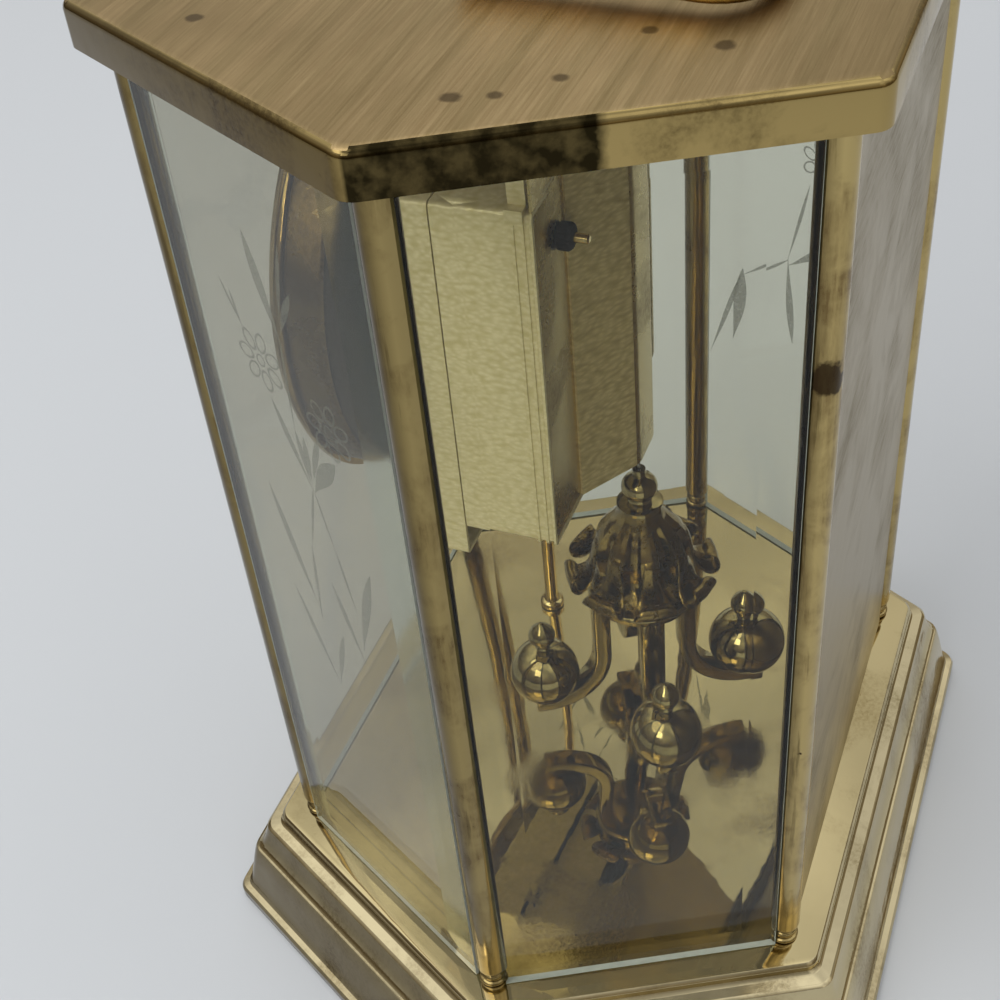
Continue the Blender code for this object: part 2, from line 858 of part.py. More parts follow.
def guard_ring(height):
    """Plan of the sheet guard round the torsion wire, as a ring at one height."""
    foot = cover_rear - sheet / 2
    tip = cover_rear + guard_reach
    slope = (guard_foot_half - guard_tip_half) / (tip - foot)
    across = sheet * math.hypot(1, slope)
    inner_tip = guard_tip_half + sheet * slope - across
    outer = [(guard_foot_half, foot), (guard_tip_half, tip), (-guard_tip_half, tip), (-guard_foot_half, foot)]
    inner = [
        (across - guard_foot_half, foot), (-inner_tip, tip - sheet),
        (inner_tip, tip - sheet), (guard_foot_half - across, foot),
    ]
    return [Vector((x, y, height)) for x, y in outer + inner]


def movement_cover():
    """Grained rear half of the movement case, with a lip above it and a guard for the wire behind it."""
    made = tray("movement_cover", brushed_brass("cover_brass"), cover_bottom, cover_rear, cover_front)
    top = platform_z + tray_top
    for side in (-1, 1):
        lip = bmesh.new()
        near = side * (bracket_half_width + gap)
        far = side * (tray_half_width - sheet / 4)
        low = (min(near, far), cover_rear - sheet * 3 / 4, top - sheet / 2)
        box(lip, low, (max(near, far), cover_rear - sheet / 4, top + cover_lip))
        boolean(made, helper(f"join_lip_{side + 1}", lip), "UNION")
    guard = bmesh.new()
    loft(guard, [guard_ring(platform_z + cover_bottom + guard_lift), guard_ring(top - gap)])
    boolean(made, helper("join_guard", guard), "UNION")
    z = platform_z + knob_hole_height
    cut = bmesh.new()
    near = (knob_hole_x, cover_rear - sheet - overrun, z)
    rod(cut, knob_hole_radius, near, (knob_hole_x, cover_rear + overrun, z), 20)
    boolean(made, helper("cut_knob_hole", cut), "DIFFERENCE")
    return made


def cover_clip(name, side):
    """Spring clip over the upper rear corner of the movement cover."""
    top = platform_z + tray_top + gap
    wall = tray_half_width + gap
    outline = [
        (wall - clip_drop * 2, top), (wall, top), (wall, top - clip_drop),
        (wall + clip_thickness, top - clip_drop), (wall + clip_thickness, top + clip_thickness),
        (wall - clip_drop + clip_thickness, top + clip_thickness),
        (wall - clip_drop + clip_thickness, top + clip_height),
        (wall - clip_drop, top + clip_height), (wall - clip_drop, top + clip_thickness),
        (wall - clip_drop * 2, top + clip_thickness),
    ]
    rear = cover_rear - sheet - gap
    rings = [[Vector((side * x, y, z)) for x, z in outline] for y in (rear - clip_depth, rear)]
    bm = bmesh.new()
    loft(bm, rings)
    return finish(name, bm, steel("clip_steel"))


# Quartz movement
def bay_size():
    """Half width, height and middle height of the battery bay."""
    half = battery_length / 2 + gap
    height = 2 * (battery_radius + gap)
    middle = platform_z + movement_bottom + battery_bay_wall + height / 2
    return half, height, middle


def quartz_movement():
    """Plastic movement with its threaded bush at the front and the battery bay at the rear."""
    low = platform_z + movement_bottom
    high = platform_z + movement_top
    front = tray_front + sheet + gap
    bm = bmesh.new()
    rings = [
        oblong(movement_half_width, low, high, movement_corner_radius, y, 1)
        for y in (front, movement_rear)
    ]
    loft(bm, rings)
    made = finish("quartz_movement", bm, dark_plastic("movement_plastic"))
    dial_front = drum_rear - dial_ledge_depth - sheet - gap - dial_thickness
    nose = bmesh.new()
    profile = [
        (bush_radius, -overrun), (bush_radius, front - dial_front + dial_nut_height + gap),
        (bush_bore, front - dial_front + dial_nut_height + gap), (bush_bore, 0),
    ]
    turned(nose, profile, 20, facing_front(0, front, dial_z))
    boolean(made, helper("join_bush", nose), "UNION")
    half, height, middle = bay_size()
    bay = bmesh.new()
    depth = movement_rear - 2 * battery_radius - gap
    box(bay, (-half, depth, middle - height / 2), (half, movement_rear + overrun, middle + height / 2))
    arbor = (knob_hole_x, movement_rear, platform_z + knob_hole_height)
    inward = (arbor[0], movement_rear - handle_pin_bite, arbor[2])
    rod(bay, minute_shaft_radius + gap, inward, (arbor[0], movement_rear + overrun, arbor[2]), 12)
    boolean(made, helper("cut_battery_bay", bay), "DIFFERENCE")
    return made


def battery():
    """Round cell lying in its bay."""
    half, height, middle = bay_size()
    y = movement_rear - battery_radius
    body = battery_length - 2 * battery_nub_length
    profile = [
        (battery_radius - battery_nub_length, 0), (battery_radius, battery_nub_length / 2),
        (battery_radius, body), (battery_radius - battery_nub_length, body + battery_nub_length / 2),
        (battery_nub_radius, body + battery_nub_length / 2),
        (battery_nub_radius, body + battery_nub_length),
    ]
    frame = Matrix.Translation((gap - half, y, middle)) @ Matrix.Rotation(math.radians(90), 4, "Y")
    bm = bmesh.new()
    turned(bm, profile, 20, frame)
    return finish("battery", bm, material("battery_sleeve", (0.10, 0.12, 0.16), 0.35))


def setting_knob():
    """Fluted knob behind the cover, on an arbor through its hole, which turns the hands."""
    z = platform_z + knob_hole_height
    count = setting_knob_flutes * 2
    rings = []
    low = cover_rear + gap
    high = low + setting_knob_height
    for y, radius in (
        (movement_rear - handle_pin_bite / 2, minute_shaft_radius), (low, minute_shaft_radius),
        (low, setting_knob_radius), (high, setting_knob_radius),
        (high, setting_stub_radius), (high + setting_stub_length, setting_stub_radius),
    ):
        ring = []
        for i in range(count):
            wave = setting_flute_depth * (i % 2) if radius > minute_shaft_radius else 0
            angle = 2 * math.pi * i / count
            reach = radius - wave
            ring.append(Vector((knob_hole_x + reach * math.cos(angle), y, z + reach * math.sin(angle))))
        rings.append(ring)
    bm = bmesh.new()
    loft(bm, rings)
    return finish("setting_knob", bm, material("knob_plastic", (0.05, 0.05, 0.05), 0.45), (knob_hole_x, low, z))


# Dial
def dial_levels():
    """Depths of the dial's seat and of its two faces, counted towards the front."""
    seat = drum_rear - sheet - dial_ledge_depth
    rear = seat - gap
    return seat, rear, rear - dial_thickness


def dial_drum():
    """Shallow drum behind the dial, with a ledge that the dial rests on."""
    frame = facing_front(0, drum_rear, dial_z)
    inner = drum_radius - drum_wall
    ledge = sheet + dial_ledge_depth
    hole = bush_radius + gap
    edge = drum_edge_radius
    profile = [
        (hole, 0), (drum_radius - edge, 0), (drum_radius - edge / 4, edge / 4), (drum_radius, edge),
        (drum_radius, drum_depth), (inner, drum_depth), (inner, ledge), (inner - dial_ledge, ledge),
        (inner - dial_ledge, ledge - sheet), (inner, ledge - sheet), (inner, sheet), (hole, sheet),
    ]
    bm = bmesh.new()
    turned(bm, profile, 36, frame, closed=True)
    return finish("dial_drum", bm, brushed_brass("drum_brass"))


def dial_plate():
    """Thin round dial, flat against the drum's ledge."""
    rear = dial_levels()[1]
    radius = drum_radius - drum_wall - gap
    hole = bush_radius + gap
    profile = [(hole, 0), (radius, 0), (radius, dial_thickness), (hole, dial_thickness)]
    bm = bmesh.new()
    turned(bm, profile, 36, facing_front(0, rear, dial_z), closed=True)
    return finish("dial_plate", bm, material("dial_paint", (0.78, 0.74, 0.62), 0.45))


def dial_bezel():
    """Moulded ring pressed over the drum's front edge, which holds the dial in."""
    front = dial_levels()[2]
    start = drum_rear - drum_depth - gap
    outer = drum_radius + bezel_overhang
    inner = drum_radius - drum_wall - bezel_cover
    lip = front - start - gap
    profile = [
        (drum_radius - drum_wall - gap, 0), (outer, 0), (outer, bezel_depth * 0.30),
        (outer - bezel_overhang * 0.8, bezel_depth * 0.75), (drum_radius - drum_wall * 0.6, bezel_depth),
        (inner + bezel_cover * 0.5, bezel_depth * 0.72), (inner, bezel_depth * 0.25), (inner, -lip),
        (drum_radius - drum_wall - gap, -lip),
    ]
    bm = bmesh.new()
    turned(bm, profile, 36, facing_front(0, start, dial_z), closed=True)
    return finish("dial_bezel", bm, polished_brass("bezel_brass"))


def dial_nut():
    """Flat hexagon nut that clamps the dial and the drum to the movement."""
    start = dial_levels()[2] - gap
    bore = bush_radius + gap
    rings = [circle(bore, 12, 0), circle(bore, 12, dial_nut_height)]
    for z in (dial_nut_height, 0):
        ring = []
        for i in range(12):
            angle = 2 * math.pi * i / 12
            reach = dial_nut_radius if i % 2 == 0 else dial_nut_radius * math.cos(math.radians(30))
            ring.append(Vector((reach * math.cos(angle), reach * math.sin(angle), z)))
        rings.append(ring)
    bm = bmesh.new()
    loft(bm, rings, closed=True)
    bm.transform(facing_front(0, start, dial_z))
    return finish("dial_nut", bm, polished_brass("nut_brass"))


# Hands
# Shares of a hand's length, and of its boss's radius, along one edge of the blade
hour_blade_shares = [(0.10, 0.42), (0.48, 0.30), (0.58, 0.95), (0.70, 1.02), (0.80, 0.40), (1.00, 0.05)]
minute_blade_shares = [(0.06, 0.45), (0.55, 0.34), (0.63, 0.80), (0.72, 0.82), (0.80, 0.34), (1.00, 0.05)]


def hand_levels():
    """Where the hour boss, the minute boss and the hand nut start, counted towards the front."""
    dial_front = dial_levels()[2]
    hour = dial_front - 2 * gap - dial_nut_height - gap
    minute = hour - hand_boss_height - gap
    nut = minute - hand_boss_height - gap
    return hour, minute, nut


def blade(shares, length, width, turn_degrees, depth, boss_radius):
    """A flat hand's blade, as a body that is later joined to its boss."""
    right = [(boss_radius * 0 + width * half, length * way) for way, half in shares]
    left = [(-x, y) for x, y in reversed(right)]
    bm = bmesh.new()
    rings = [[Vector((x, y, z)) for x, y in right + left] for z in (0, hand_thickness)]
    loft(bm, rings)
    spin = Matrix.Rotation(math.radians(-turn_degrees), 4, "Z")
    bm.transform(facing_front(0, depth, dial_z) @ spin)
    return bm


def hour_hand():
    """Hour hand on its tube, which runs inside the bush."""
    hour = hand_levels()[0]
    turn_degrees = 30 * (shown_hours + shown_minutes / 60)
    back = tray_front - sheet
    depth = back - hour
    profile = [
        (hour_bore, 0), (hour_tube_radius, 0), (hour_tube_radius, depth), (hour_boss_radius, depth),
        (hour_boss_radius, depth + hand_boss_height), (hour_bore, depth + hand_boss_height),
    ]
    bm = bmesh.new()
    turned(bm, profile, 20, facing_front(0, back, dial_z), closed=True)
    made = finish("hour_hand", bm, material("hand_black", (0.02, 0.02, 0.02), 0.4), (0, hour, dial_z))
    middle = hour - (hand_boss_height - hand_thickness) / 2
    blank = blade(hour_blade_shares, hour_length, hour_boss_radius, turn_degrees, middle, hour_boss_radius)
    ring = helper("join_hour_blade", blank)
    boolean(made, ring, "UNION")
    return made


def minute_shaft():
    """Arbor of the minute hand."""
    nut = hand_levels()[2]
    start = tray_front - 2 * gap
    bm = bmesh.new()
    rod(bm, minute_shaft_radius, (0, start, dial_z), (0, nut - hand_nut_height / 2, dial_z), 12)
    return finish("minute_shaft", bm, steel("arbor_steel"), (0, start, dial_z))


def minute_hand():
    """Minute hand on its boss."""
    minute = hand_levels()[1]
    bore = minute_shaft_radius + gap
    profile = [
        (bore, 0), (minute_boss_radius, 0), (minute_boss_radius, hand_boss_height), (bore, hand_boss_height),
    ]
    bm = bmesh.new()
    turned(bm, profile, 20, facing_front(0, minute, dial_z), closed=True)
    made = finish("minute_hand", bm, material("hand_black", (0.02, 0.02, 0.02), 0.4), (0, minute, dial_z))
    middle = minute - (hand_boss_height - hand_thickness) / 2
    blank = blade(minute_blade_shares, minute_length, minute_boss_radius, 6 * shown_minutes, middle, minute_boss_radius)
    boolean(made, helper("join_minute_blade", blank), "UNION")
    return made


def hand_nut():
    """Domed nut on the end of the minute arbor."""
    nut = hand_levels()[2]
    bore = minute_shaft_radius + gap
    depth = hand_nut_height / 2 + gap
    profile = [
        (bore, depth), (bore, 0), (hand_nut_radius, 0), (hand_nut_radius, hand_nut_height * 0.6),
        (hand_nut_radius * 0.7, hand_nut_height * 0.92), (hand_nut_radius * 0.2, hand_nut_height),
    ]
    bm = bmesh.new()
    turned(bm, profile, 14, facing_front(0, nut, dial_z))
    return finish("hand_nut", bm, polished_brass("hand_nut_brass"), (0, nut, dial_z))


# Pendulum
def pendulum_axis(z):
    """A point on the pendulum's axis."""
    return Vector((0, pendulum_y, z))


def arm_angles():
    """Directions of the four arms at rest."""
    return [math.radians(ball_turn_degrees + 90 * k) for k in range(4)]


def pendulum_arms():
    """Hub with four bars that drop, sweep outwards and turn up under the balls."""
    seat = ball_height - ball_radius - gap
    bend = ball_circle_radius - arm_drop_radius
    foot = platform_z + seat - arm_half_thickness
    bm = bmesh.new()
    hub = [
        (pendulum_rod_radius + gap, hub_top - hub_thickness), (hub_radius, hub_top - hub_thickness),
        (hub_radius, hub_top), (pendulum_rod_radius + gap, hub_top),
    ]
    turned(bm, hub, 32, Matrix.Translation(pendulum_axis(0)), closed=True)
    made = finish("pendulum_arms", bm, polished_brass("arm_brass"), pendulum_axis(hub_top))
    bars = bmesh.new()
    for angle in arm_angles():
        out = Vector((math.cos(angle), math.sin(angle), 0))
        points = [pendulum_axis(hub_top - hub_thickness / 2) + out * arm_drop_radius]
        rise = (hub_top - foot) * 0.42
        for k in range(8):
            turn = math.radians(90 * k / 7)
            reach = arm_drop_radius + bend * (1 - math.cos(turn))
            points.append(pendulum_axis(foot + rise * (1 - math.sin(turn))) + out * reach)
        points.append(pendulum_axis(foot) + out * (ball_circle_radius + arm_half_width))
        radii = [arm_half_width] * (len(points) - 1) + [arm_half_width * 0.6]
        tube(bars, points, radii, 10, (-out.y, out.x, 0), arm_half_thickness / arm_half_width)
    boolean(made, helper("join_arms", bars), "UNION")
    holes = bmesh.new()
    for angle in arm_angles():
        x = ball_circle_radius * math.cos(angle)
        y = pendulum_y + ball_circle_radius * math.sin(angle)
        below = (x, y, foot - 2 * arm_half_thickness)
        rod(holes, arm_stud_radius + gap, below, (x, y, foot + 2 * arm_half_thickness), 10)
    boolean(made, helper("cut_arm_ends", holes), "DIFFERENCE")
    return made


def pendulum_ball(index):
    """Ball with a turned finial above and a stud through the end of its arm."""
    angle = arm_angles()[index]
    centre = platform_z + ball_height
    foot = centre - ball_radius - gap - 2 * arm_half_thickness - arm_stud_tail
    flat = math.radians(9)
    profile = [(arm_stud_radius, foot), (arm_stud_radius, centre - ball_radius * math.cos(flat))]
    for k in range(9):
        turn = flat + (math.pi - 2 * flat) * k / 8
        profile.append((ball_radius * math.sin(turn), centre - ball_radius * math.cos(turn)))
    top = centre + ball_radius
    neck = finial_height - 2 * finial_radius
    profile.append((finial_neck_radius, top + neck / 2))
    profile.append((finial_radius * 0.7, top + neck))
    profile.append((finial_radius, top + neck + finial_radius * 0.8))
    profile.append((finial_radius * 0.8, top + neck + finial_radius * 1.5))
    profile.append((finial_radius * 0.25, top + finial_height))
    x = ball_circle_radius * math.cos(angle)
    y = pendulum_y + ball_circle_radius * math.sin(angle)
    bm = bmesh.new()
    turned(bm, profile, 14, Matrix.Translation((x, y, 0)))
    return finish(f"pendulum_ball_{index + 1}", bm, polished_brass("ball_brass"), pendulum_axis(centre))


# Shares of the crown's flare radius, its height and its leaf depth
crown_shares = [
    (0.62, 0.00, 0.0), (0.78, 0.06, 0.4), (0.98, 0.20, 1.0), (1.00, 0.27, 1.0), (0.84, 0.25, 0.8),
    (0.72, 0.31, 0.4), (0.68, 0.42, 0.3), (0.66, 0.56, 0.3), (0.58, 0.70, 0.25), (0.44, 0.82, 0.2),
    (0.34, 0.90, 0.0), (0.27, 1.00, 0.0),
]


def pendulum_crown():
    """Cast crown: leaves that flare out at the rim and ribs that draw in to a neck."""
    count = crown_leaves * 4
    bore = pendulum_rod_radius + gap
    rings = [[pendulum_axis(0) + point for point in circle(bore, count, crown_base)]]
    for reach_share, height_share, leaf_share in crown_shares:
        height = crown_base + crown_height * height_share
        base = crown_neck_radius + (crown_flare_radius - crown_neck_radius) * (reach_share - 0.27) / 0.73
        ring = []
        for i in range(count):
            angle = 2 * math.pi * i / count + math.radians(ball_turn_degrees)
            wave = (1 + math.cos(crown_leaves * angle)) / 2
            reach = base - crown_leaf_depth * leaf_share * (1 - wave)
            ring.append(pendulum_axis(height) + Vector((reach * math.cos(angle), reach * math.sin(angle), 0)))
        rings.append(ring)
    rings.append([pendulum_axis(0) + point for point in circle(bore, count, crown_top)])
    bm = bmesh.new()
    loft(bm, rings, closed=True)
    return finish("pendulum_crown", bm, polished_brass("crown_brass"), pendulum_axis(crown_base))


def pendulum_rod():
    """Spindle through the crown and the hub, with a turned drop at its foot."""
    tip = hub_top - pendulum_drop
    profile = [
        (pendulum_tip_radius * 0.2, tip), (pendulum_tip_radius * 0.8, tip + pendulum_tip_radius * 0.5),
        (pendulum_tip_radius, tip + pendulum_tip_radius * 1.2),
        (pendulum_tip_radius * 0.7, tip + pendulum_tip_radius * 2.2),
        (pendulum_rod_radius, tip + pendulum_tip_radius * 2.6),
        (pendulum_rod_radius, crown_top + knob_height / 4),
    ]
    bm = bmesh.new()
    turned(bm, profile, 14, Matrix.Translation(pendulum_axis(0)))
    return finish("pendulum_rod", bm, polished_brass("rod_brass"), pendulum_axis(hub_top))


def pendulum_knob():
    """Knob screwed on top of the spindle, with the stub that the wire is pinned in."""
    low = crown_top + gap
    bore = pendulum_rod_radius + gap
    profile = [
        (bore, low + knob_height / 4 + gap), (bore, low),
        (knob_disc_radius, low), (knob_disc_radius, low + knob_height * 0.10),
        (knob_radius * 0.6, low + knob_height * 0.18), (knob_radius * 0.6, low + knob_height * 0.28),
        (knob_radius, low + knob_height * 0.38), (knob_radius, low + knob_height * 0.62),
        (knob_radius * 0.72, low + knob_height * 0.74), (wire_stop_radius, low + knob_height * 0.78),
        (wire_stop_radius, low + knob_height),
    ]
    bm = bmesh.new()
    turned(bm, profile, 20, Matrix.Translation(pendulum_axis(0)))
    return finish("pendulum_knob", bm, polished_brass("knob_brass"), pendulum_axis(low))


def suspension_wire():
    """Thin torsion wire from the knob up to the bracket, with a stop above it."""
    low = crown_top + 2 * gap + knob_height
    seat = bracket_z + bracket_thickness + gap
    profile = [
        (wire_radius, low), (wire_radius, seat), (wire_stop_radius, seat),
        (wire_stop_radius, seat + wire_stop_height),
    ]
    bm = bmesh.new()
    turned(bm, profile, 8, Matrix.Translation(pendulum_axis(0)))
    return finish("suspension_wire", bm, steel("wire_steel"), pendulum_axis(low))


def suspension_bracket():
    """Flat bar on top of the movement case that reaches over to the pendulum's axis."""
    end = pendulum_y + bracket_beyond
    bm = bmesh.new()
    low = (-bracket_half_width, bracket_front, bracket_z)
    box(bm, low, (bracket_half_width, end, bracket_z + bracket_thickness))
    upright = [edge for edge in bm.edges if abs((edge.verts[0].co - edge.verts[1].co).z) > merge_distance]
    rear = [edge for edge in upright if edge.verts[0].co.y > 0]
    bmesh.ops.bevel(bm, geom=rear, offset=bracket_half_width * 0.7, segments=3, affect="EDGES")
    made = finish("suspension_bracket", bm, brushed_brass("bracket_brass"))
    hole = bmesh.new()
    top = pendulum_axis(bracket_z + bracket_thickness + overrun)
    rod(hole, wire_radius + gap, pendulum_axis(bracket_z - overrun), top, 10)
    boolean(made, helper("cut_bracket", hole), "DIFFERENCE")
    return made


def build():
    """Makes every piece of the clock."""
    clear_scene()
    base_shell()
    base_board()
    base_felt()
    for index in range(6):
        post(index)
        frame_screw(index)
    pane("glass_front_right", 0)
    pane("glass_rear_right", 1)
    pane("glass_rear_left", 3)
    pane("glass_front_left", 4)
    pane("glass_front", 5)
    top_frame()
    lid()
    rear_door()
    door_pin("door_pin_upper", skirt_bottom - door_foot_gap, 1, frame_top - gap)
    door_pin("door_pin_lower", platform_z + door_foot_gap, -1, platform_z - door_pin_reach)
    door_stop()
    handle_bail()
    for word, side in (("left", -1), ("right", 1)):
        handle_pillar(f"handle_pillar_{word}", side)
        handle_nut(f"handle_nut_{word}", side)
        column(f"column_{word}", side)
        column_nut(f"column_nut_{word}", side)
        cover_clip(f"cover_clip_{word}", side)
    movement_frame()
    movement_cover()
    quartz_movement()
    battery()
    setting_knob()
    dial_drum()
    dial_plate()
    dial_bezel()
    dial_nut()
    hour_hand()
    minute_shaft()
    minute_hand()
    hand_nut()
    pendulum_arms()
    for index in range(4):
        pendulum_ball(index)
    pendulum_crown()
    pendulum_rod()
    pendulum_knob()
    suspension_wire()
    suspension_bracket()


build()
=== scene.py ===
import math

import bmesh
import bpy
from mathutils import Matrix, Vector


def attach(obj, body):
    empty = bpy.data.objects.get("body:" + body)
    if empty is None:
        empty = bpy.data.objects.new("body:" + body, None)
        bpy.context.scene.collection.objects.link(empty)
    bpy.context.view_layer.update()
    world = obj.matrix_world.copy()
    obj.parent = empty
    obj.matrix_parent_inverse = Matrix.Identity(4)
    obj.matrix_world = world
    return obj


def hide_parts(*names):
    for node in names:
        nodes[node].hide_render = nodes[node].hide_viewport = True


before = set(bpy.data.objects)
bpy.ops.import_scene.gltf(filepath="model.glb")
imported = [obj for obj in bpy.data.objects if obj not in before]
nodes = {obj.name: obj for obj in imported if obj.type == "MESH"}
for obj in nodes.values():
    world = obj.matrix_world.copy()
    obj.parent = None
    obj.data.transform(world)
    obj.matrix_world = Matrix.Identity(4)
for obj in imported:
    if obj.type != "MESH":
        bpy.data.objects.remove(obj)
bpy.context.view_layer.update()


# Base: a hollow brass moulding, pressed and soldered at its six mitres. A flat mirror-polished
# platform lies on top, and a stepped skirt flares out to the foot. Each step of its profile is a
# distance outside the posts' axes and a height. All sizes are in millimetres.
MM = 0.001
front_half = 49.3
half_depth = 54.7
half_width = 78.1
base_wall = 1.1
base_corner = 2.0
base_profile = [
    (20.35, 0.60), (20.35, 2.85), (19.9, 3.70), (18.6, 4.00), (18.1, 5.00), (17.5, 7.30), (16.4, 12.4),
    (15.5, 16.0), (15.1, 16.9), (14.6, 17.1), (13.7, 18.0), (13.0, 19.6), (12.3, 21.8), (11.9, 23.4),
    (11.2, 24.0), (9.1, 24.2), (8.4, 24.9), (8.4, 26.4), (7.8, 27.2),
]


def case_outline(offset):
    """The case's plan moved outwards, as the long side's half length, its depth and the tip."""
    lean = math.hypot(half_width - front_half, half_depth)
    out_x = half_depth / lean
    out_y = (half_width - front_half) / lean
    depth = half_depth + offset
    reach = out_x * half_width + offset
    return (reach - out_y * depth) / out_x, depth, reach / out_x


def clear():
    """Leaves edit mode, with nothing selected."""
    if bpy.context.object and bpy.context.object.mode != "OBJECT":
        bpy.ops.object.mode_set(mode="OBJECT")
    bpy.ops.object.select_all(action="DESELECT")


def only(piece):
    """Leaves one piece selected and active."""
    clear()
    piece.select_set(True)
    bpy.context.view_layer.objects.active = piece


def settle(piece):
    """Puts a piece's place, turn and scale into its mesh."""
    only(piece)
    bpy.ops.object.transform_apply(location=True, rotation=True, scale=True)


def moved(piece, spot=(0, 0, 0), turn=(0, 0, 0), size=(1, 1, 1)):
    """Sizes a piece, turns it by degrees and moves it, and puts all that into its mesh."""
    piece.scale = size
    piece.rotation_euler = [math.radians(angle) for angle in turn]
    piece.location = [value * MM for value in spot]
    settle(piece)


def opened():
    """Opens the active piece in edit mode, and gives it."""
    bpy.ops.object.mode_set(mode="EDIT")
    return bpy.context.object


def drawn_out(across, back, up):
    """Extrudes what is selected by one step."""
    step = (across * MM, back * MM, up * MM)
    bpy.ops.mesh.extrude_region_move(TRANSFORM_OT_translate={"value": step})


def pick(kind, wanted):
    """In edit mode, selects the parts of the mesh that pass a test."""
    bpy.ops.mesh.select_mode(type=kind)
    bpy.ops.mesh.select_all(action="DESELECT")
    mesh = bmesh.from_edit_mesh(bpy.context.object.data)
    for part in {"VERT": mesh.verts, "EDGE": mesh.edges, "FACE": mesh.faces}[kind]:
        if wanted(part):
            part.select_set(True)
    mesh.select_flush_mode()
    bmesh.update_edit_mesh(bpy.context.object.data)


def modify(piece, kind, **settings):
    """Adds a modifier and applies it."""
    only(piece)
    made = piece.modifiers.new(kind.lower(), kind)
    for key, value in settings.items():
        setattr(made, key, value)
    bpy.ops.object.modifier_apply(modifier=made.name)


def walled(piece, wall, offset=-1):
    """Gives a skin its thickness, inwards or to both sides."""
    modify(piece, "SOLIDIFY", thickness=wall * MM, offset=offset, use_even_offset=True)


def eased(piece, width, segments, sharper):
    """Rounds the edges that are sharper than an angle in degrees."""
    modify(piece, "BEVEL", width=width * MM, segments=segments, limit_method="ANGLE",
           angle_limit=math.radians(sharper))


def finished(piece, name, finish, body, replaced=(), angle=32):
    """Fixes a piece in place under its name, with its finish and the body that carries it."""
    settle(piece)
    piece.name = name
    piece.data.name = name
    piece.data.materials.clear()
    piece.data.materials.append(finish)
    bpy.ops.object.shade_smooth_by_angle(angle=math.radians(angle))
    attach(piece, body)
    if replaced:
        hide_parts(*replaced)


def faced(piece, finish, wanted):
    """Gives the faces that pass a test a finish of their own."""
    piece.data.materials.append(finish)
    for face in piece.data.polygons:
        if wanted(face):
            face.material_index = len(piece.data.materials) - 1


def six_sided(offset, height):
    """Adds a flat face of the case's plan at one height."""
    corner, depth, tip = case_outline(offset)
    clear()
    bpy.ops.mesh.primitive_circle_add(vertices=6, radius=tip * MM, fill_type="NGON",
                                      location=(0, 0, height * MM), rotation=(0, 0, math.pi / 2))
    bpy.ops.object.transform_apply(location=False, rotation=True, scale=False)
    piece = opened()
    pick("VERT", lambda part: abs(part.co.y) > tip * MM / 2)
    stretch = (corner / (tip / 2), depth / (tip * math.sin(math.radians(60))), 1)
    bpy.ops.transform.resize(value=stretch, center_override=(0, 0, height * MM))
    pick("FACE", lambda part: True)
    return piece


def rise(offset_change, lift):
    """Carries the selected top face up and inwards by one step of a moulding."""
    if abs(offset_change) < 0.001:
        drawn_out(0, 0, lift)
    else:
        bpy.ops.mesh.inset(thickness=-offset_change * MM, depth=lift * MM, use_even_offset=True)


def mitres_rounded(radius, segments):
    """Rounds the edges that run up the six corners."""
    pick("EDGE", lambda part: abs(part.verts[0].co.z - part.verts[1].co.z) > 0.01 * MM)
    bpy.ops.mesh.bevel(offset=radius * MM, offset_type="OFFSET", segments=segments, profile=0.5,
                       clamp_overlap=True)


base_moulding = six_sided(*base_profile[0])
for (old_offset, old_height), (new_offset, new_height) in zip(base_profile, base_profile[1:]):
    rise(new_offset - old_offset, new_height - old_height)
mitres_rounded(base_corner, 4)
pick("FACE", lambda part: part.normal.z < -0.9 and part.calc_center_median().z < 0.7 * MM)
bpy.ops.mesh.delete(type="FACE")
walled(base_moulding, base_wall)
eased(base_moulding, 0.25, 2, 22)


def linear(code):
    """Turns an sRGB hex colour into the linear colour that a shader takes."""
    channels = [int(code[i:i + 2], 16) / 255 for i in (1, 3, 5)]
    return (*[c / 12.92 if c <= 0.04045 else ((c + 0.055) / 1.055) ** 2.4 for c in channels], 1)


def feed(node, inputs):
    """Sets a node's inputs, each from a number, a hex colour, a node's first output or a socket."""
    for name, value in inputs.items():
        if isinstance(value, bpy.types.Node):
            value = next(output for output in value.outputs if output.enabled)
        if isinstance(value, bpy.types.NodeSocket):
            node.id_data.links.new(value, node.inputs[name])
        else:
            node.inputs[name].default_value = linear(value) if isinstance(value, str) else value


def add(tree, kind, inputs=None, **settings):
    """Adds a node with its settings and what feeds it. A Mix node mixes colours."""
    made = tree.nodes.new("ShaderNode" + kind)
    if kind == "Mix":
        made.data_type = "RGBA"
    for key, value in settings.items():
        setattr(made, key, value)
    feed(made, inputs or {})
    return made


def blank(name):
    """Starts a material, and gives its tree, its shader and the place on the piece."""
    made = bpy.data.materials.new(name)
    made.use_nodes = True
    tree = made.node_tree
    return made, tree, tree.nodes["Principled BSDF"], add(tree, "TexCoord").outputs["Object"]


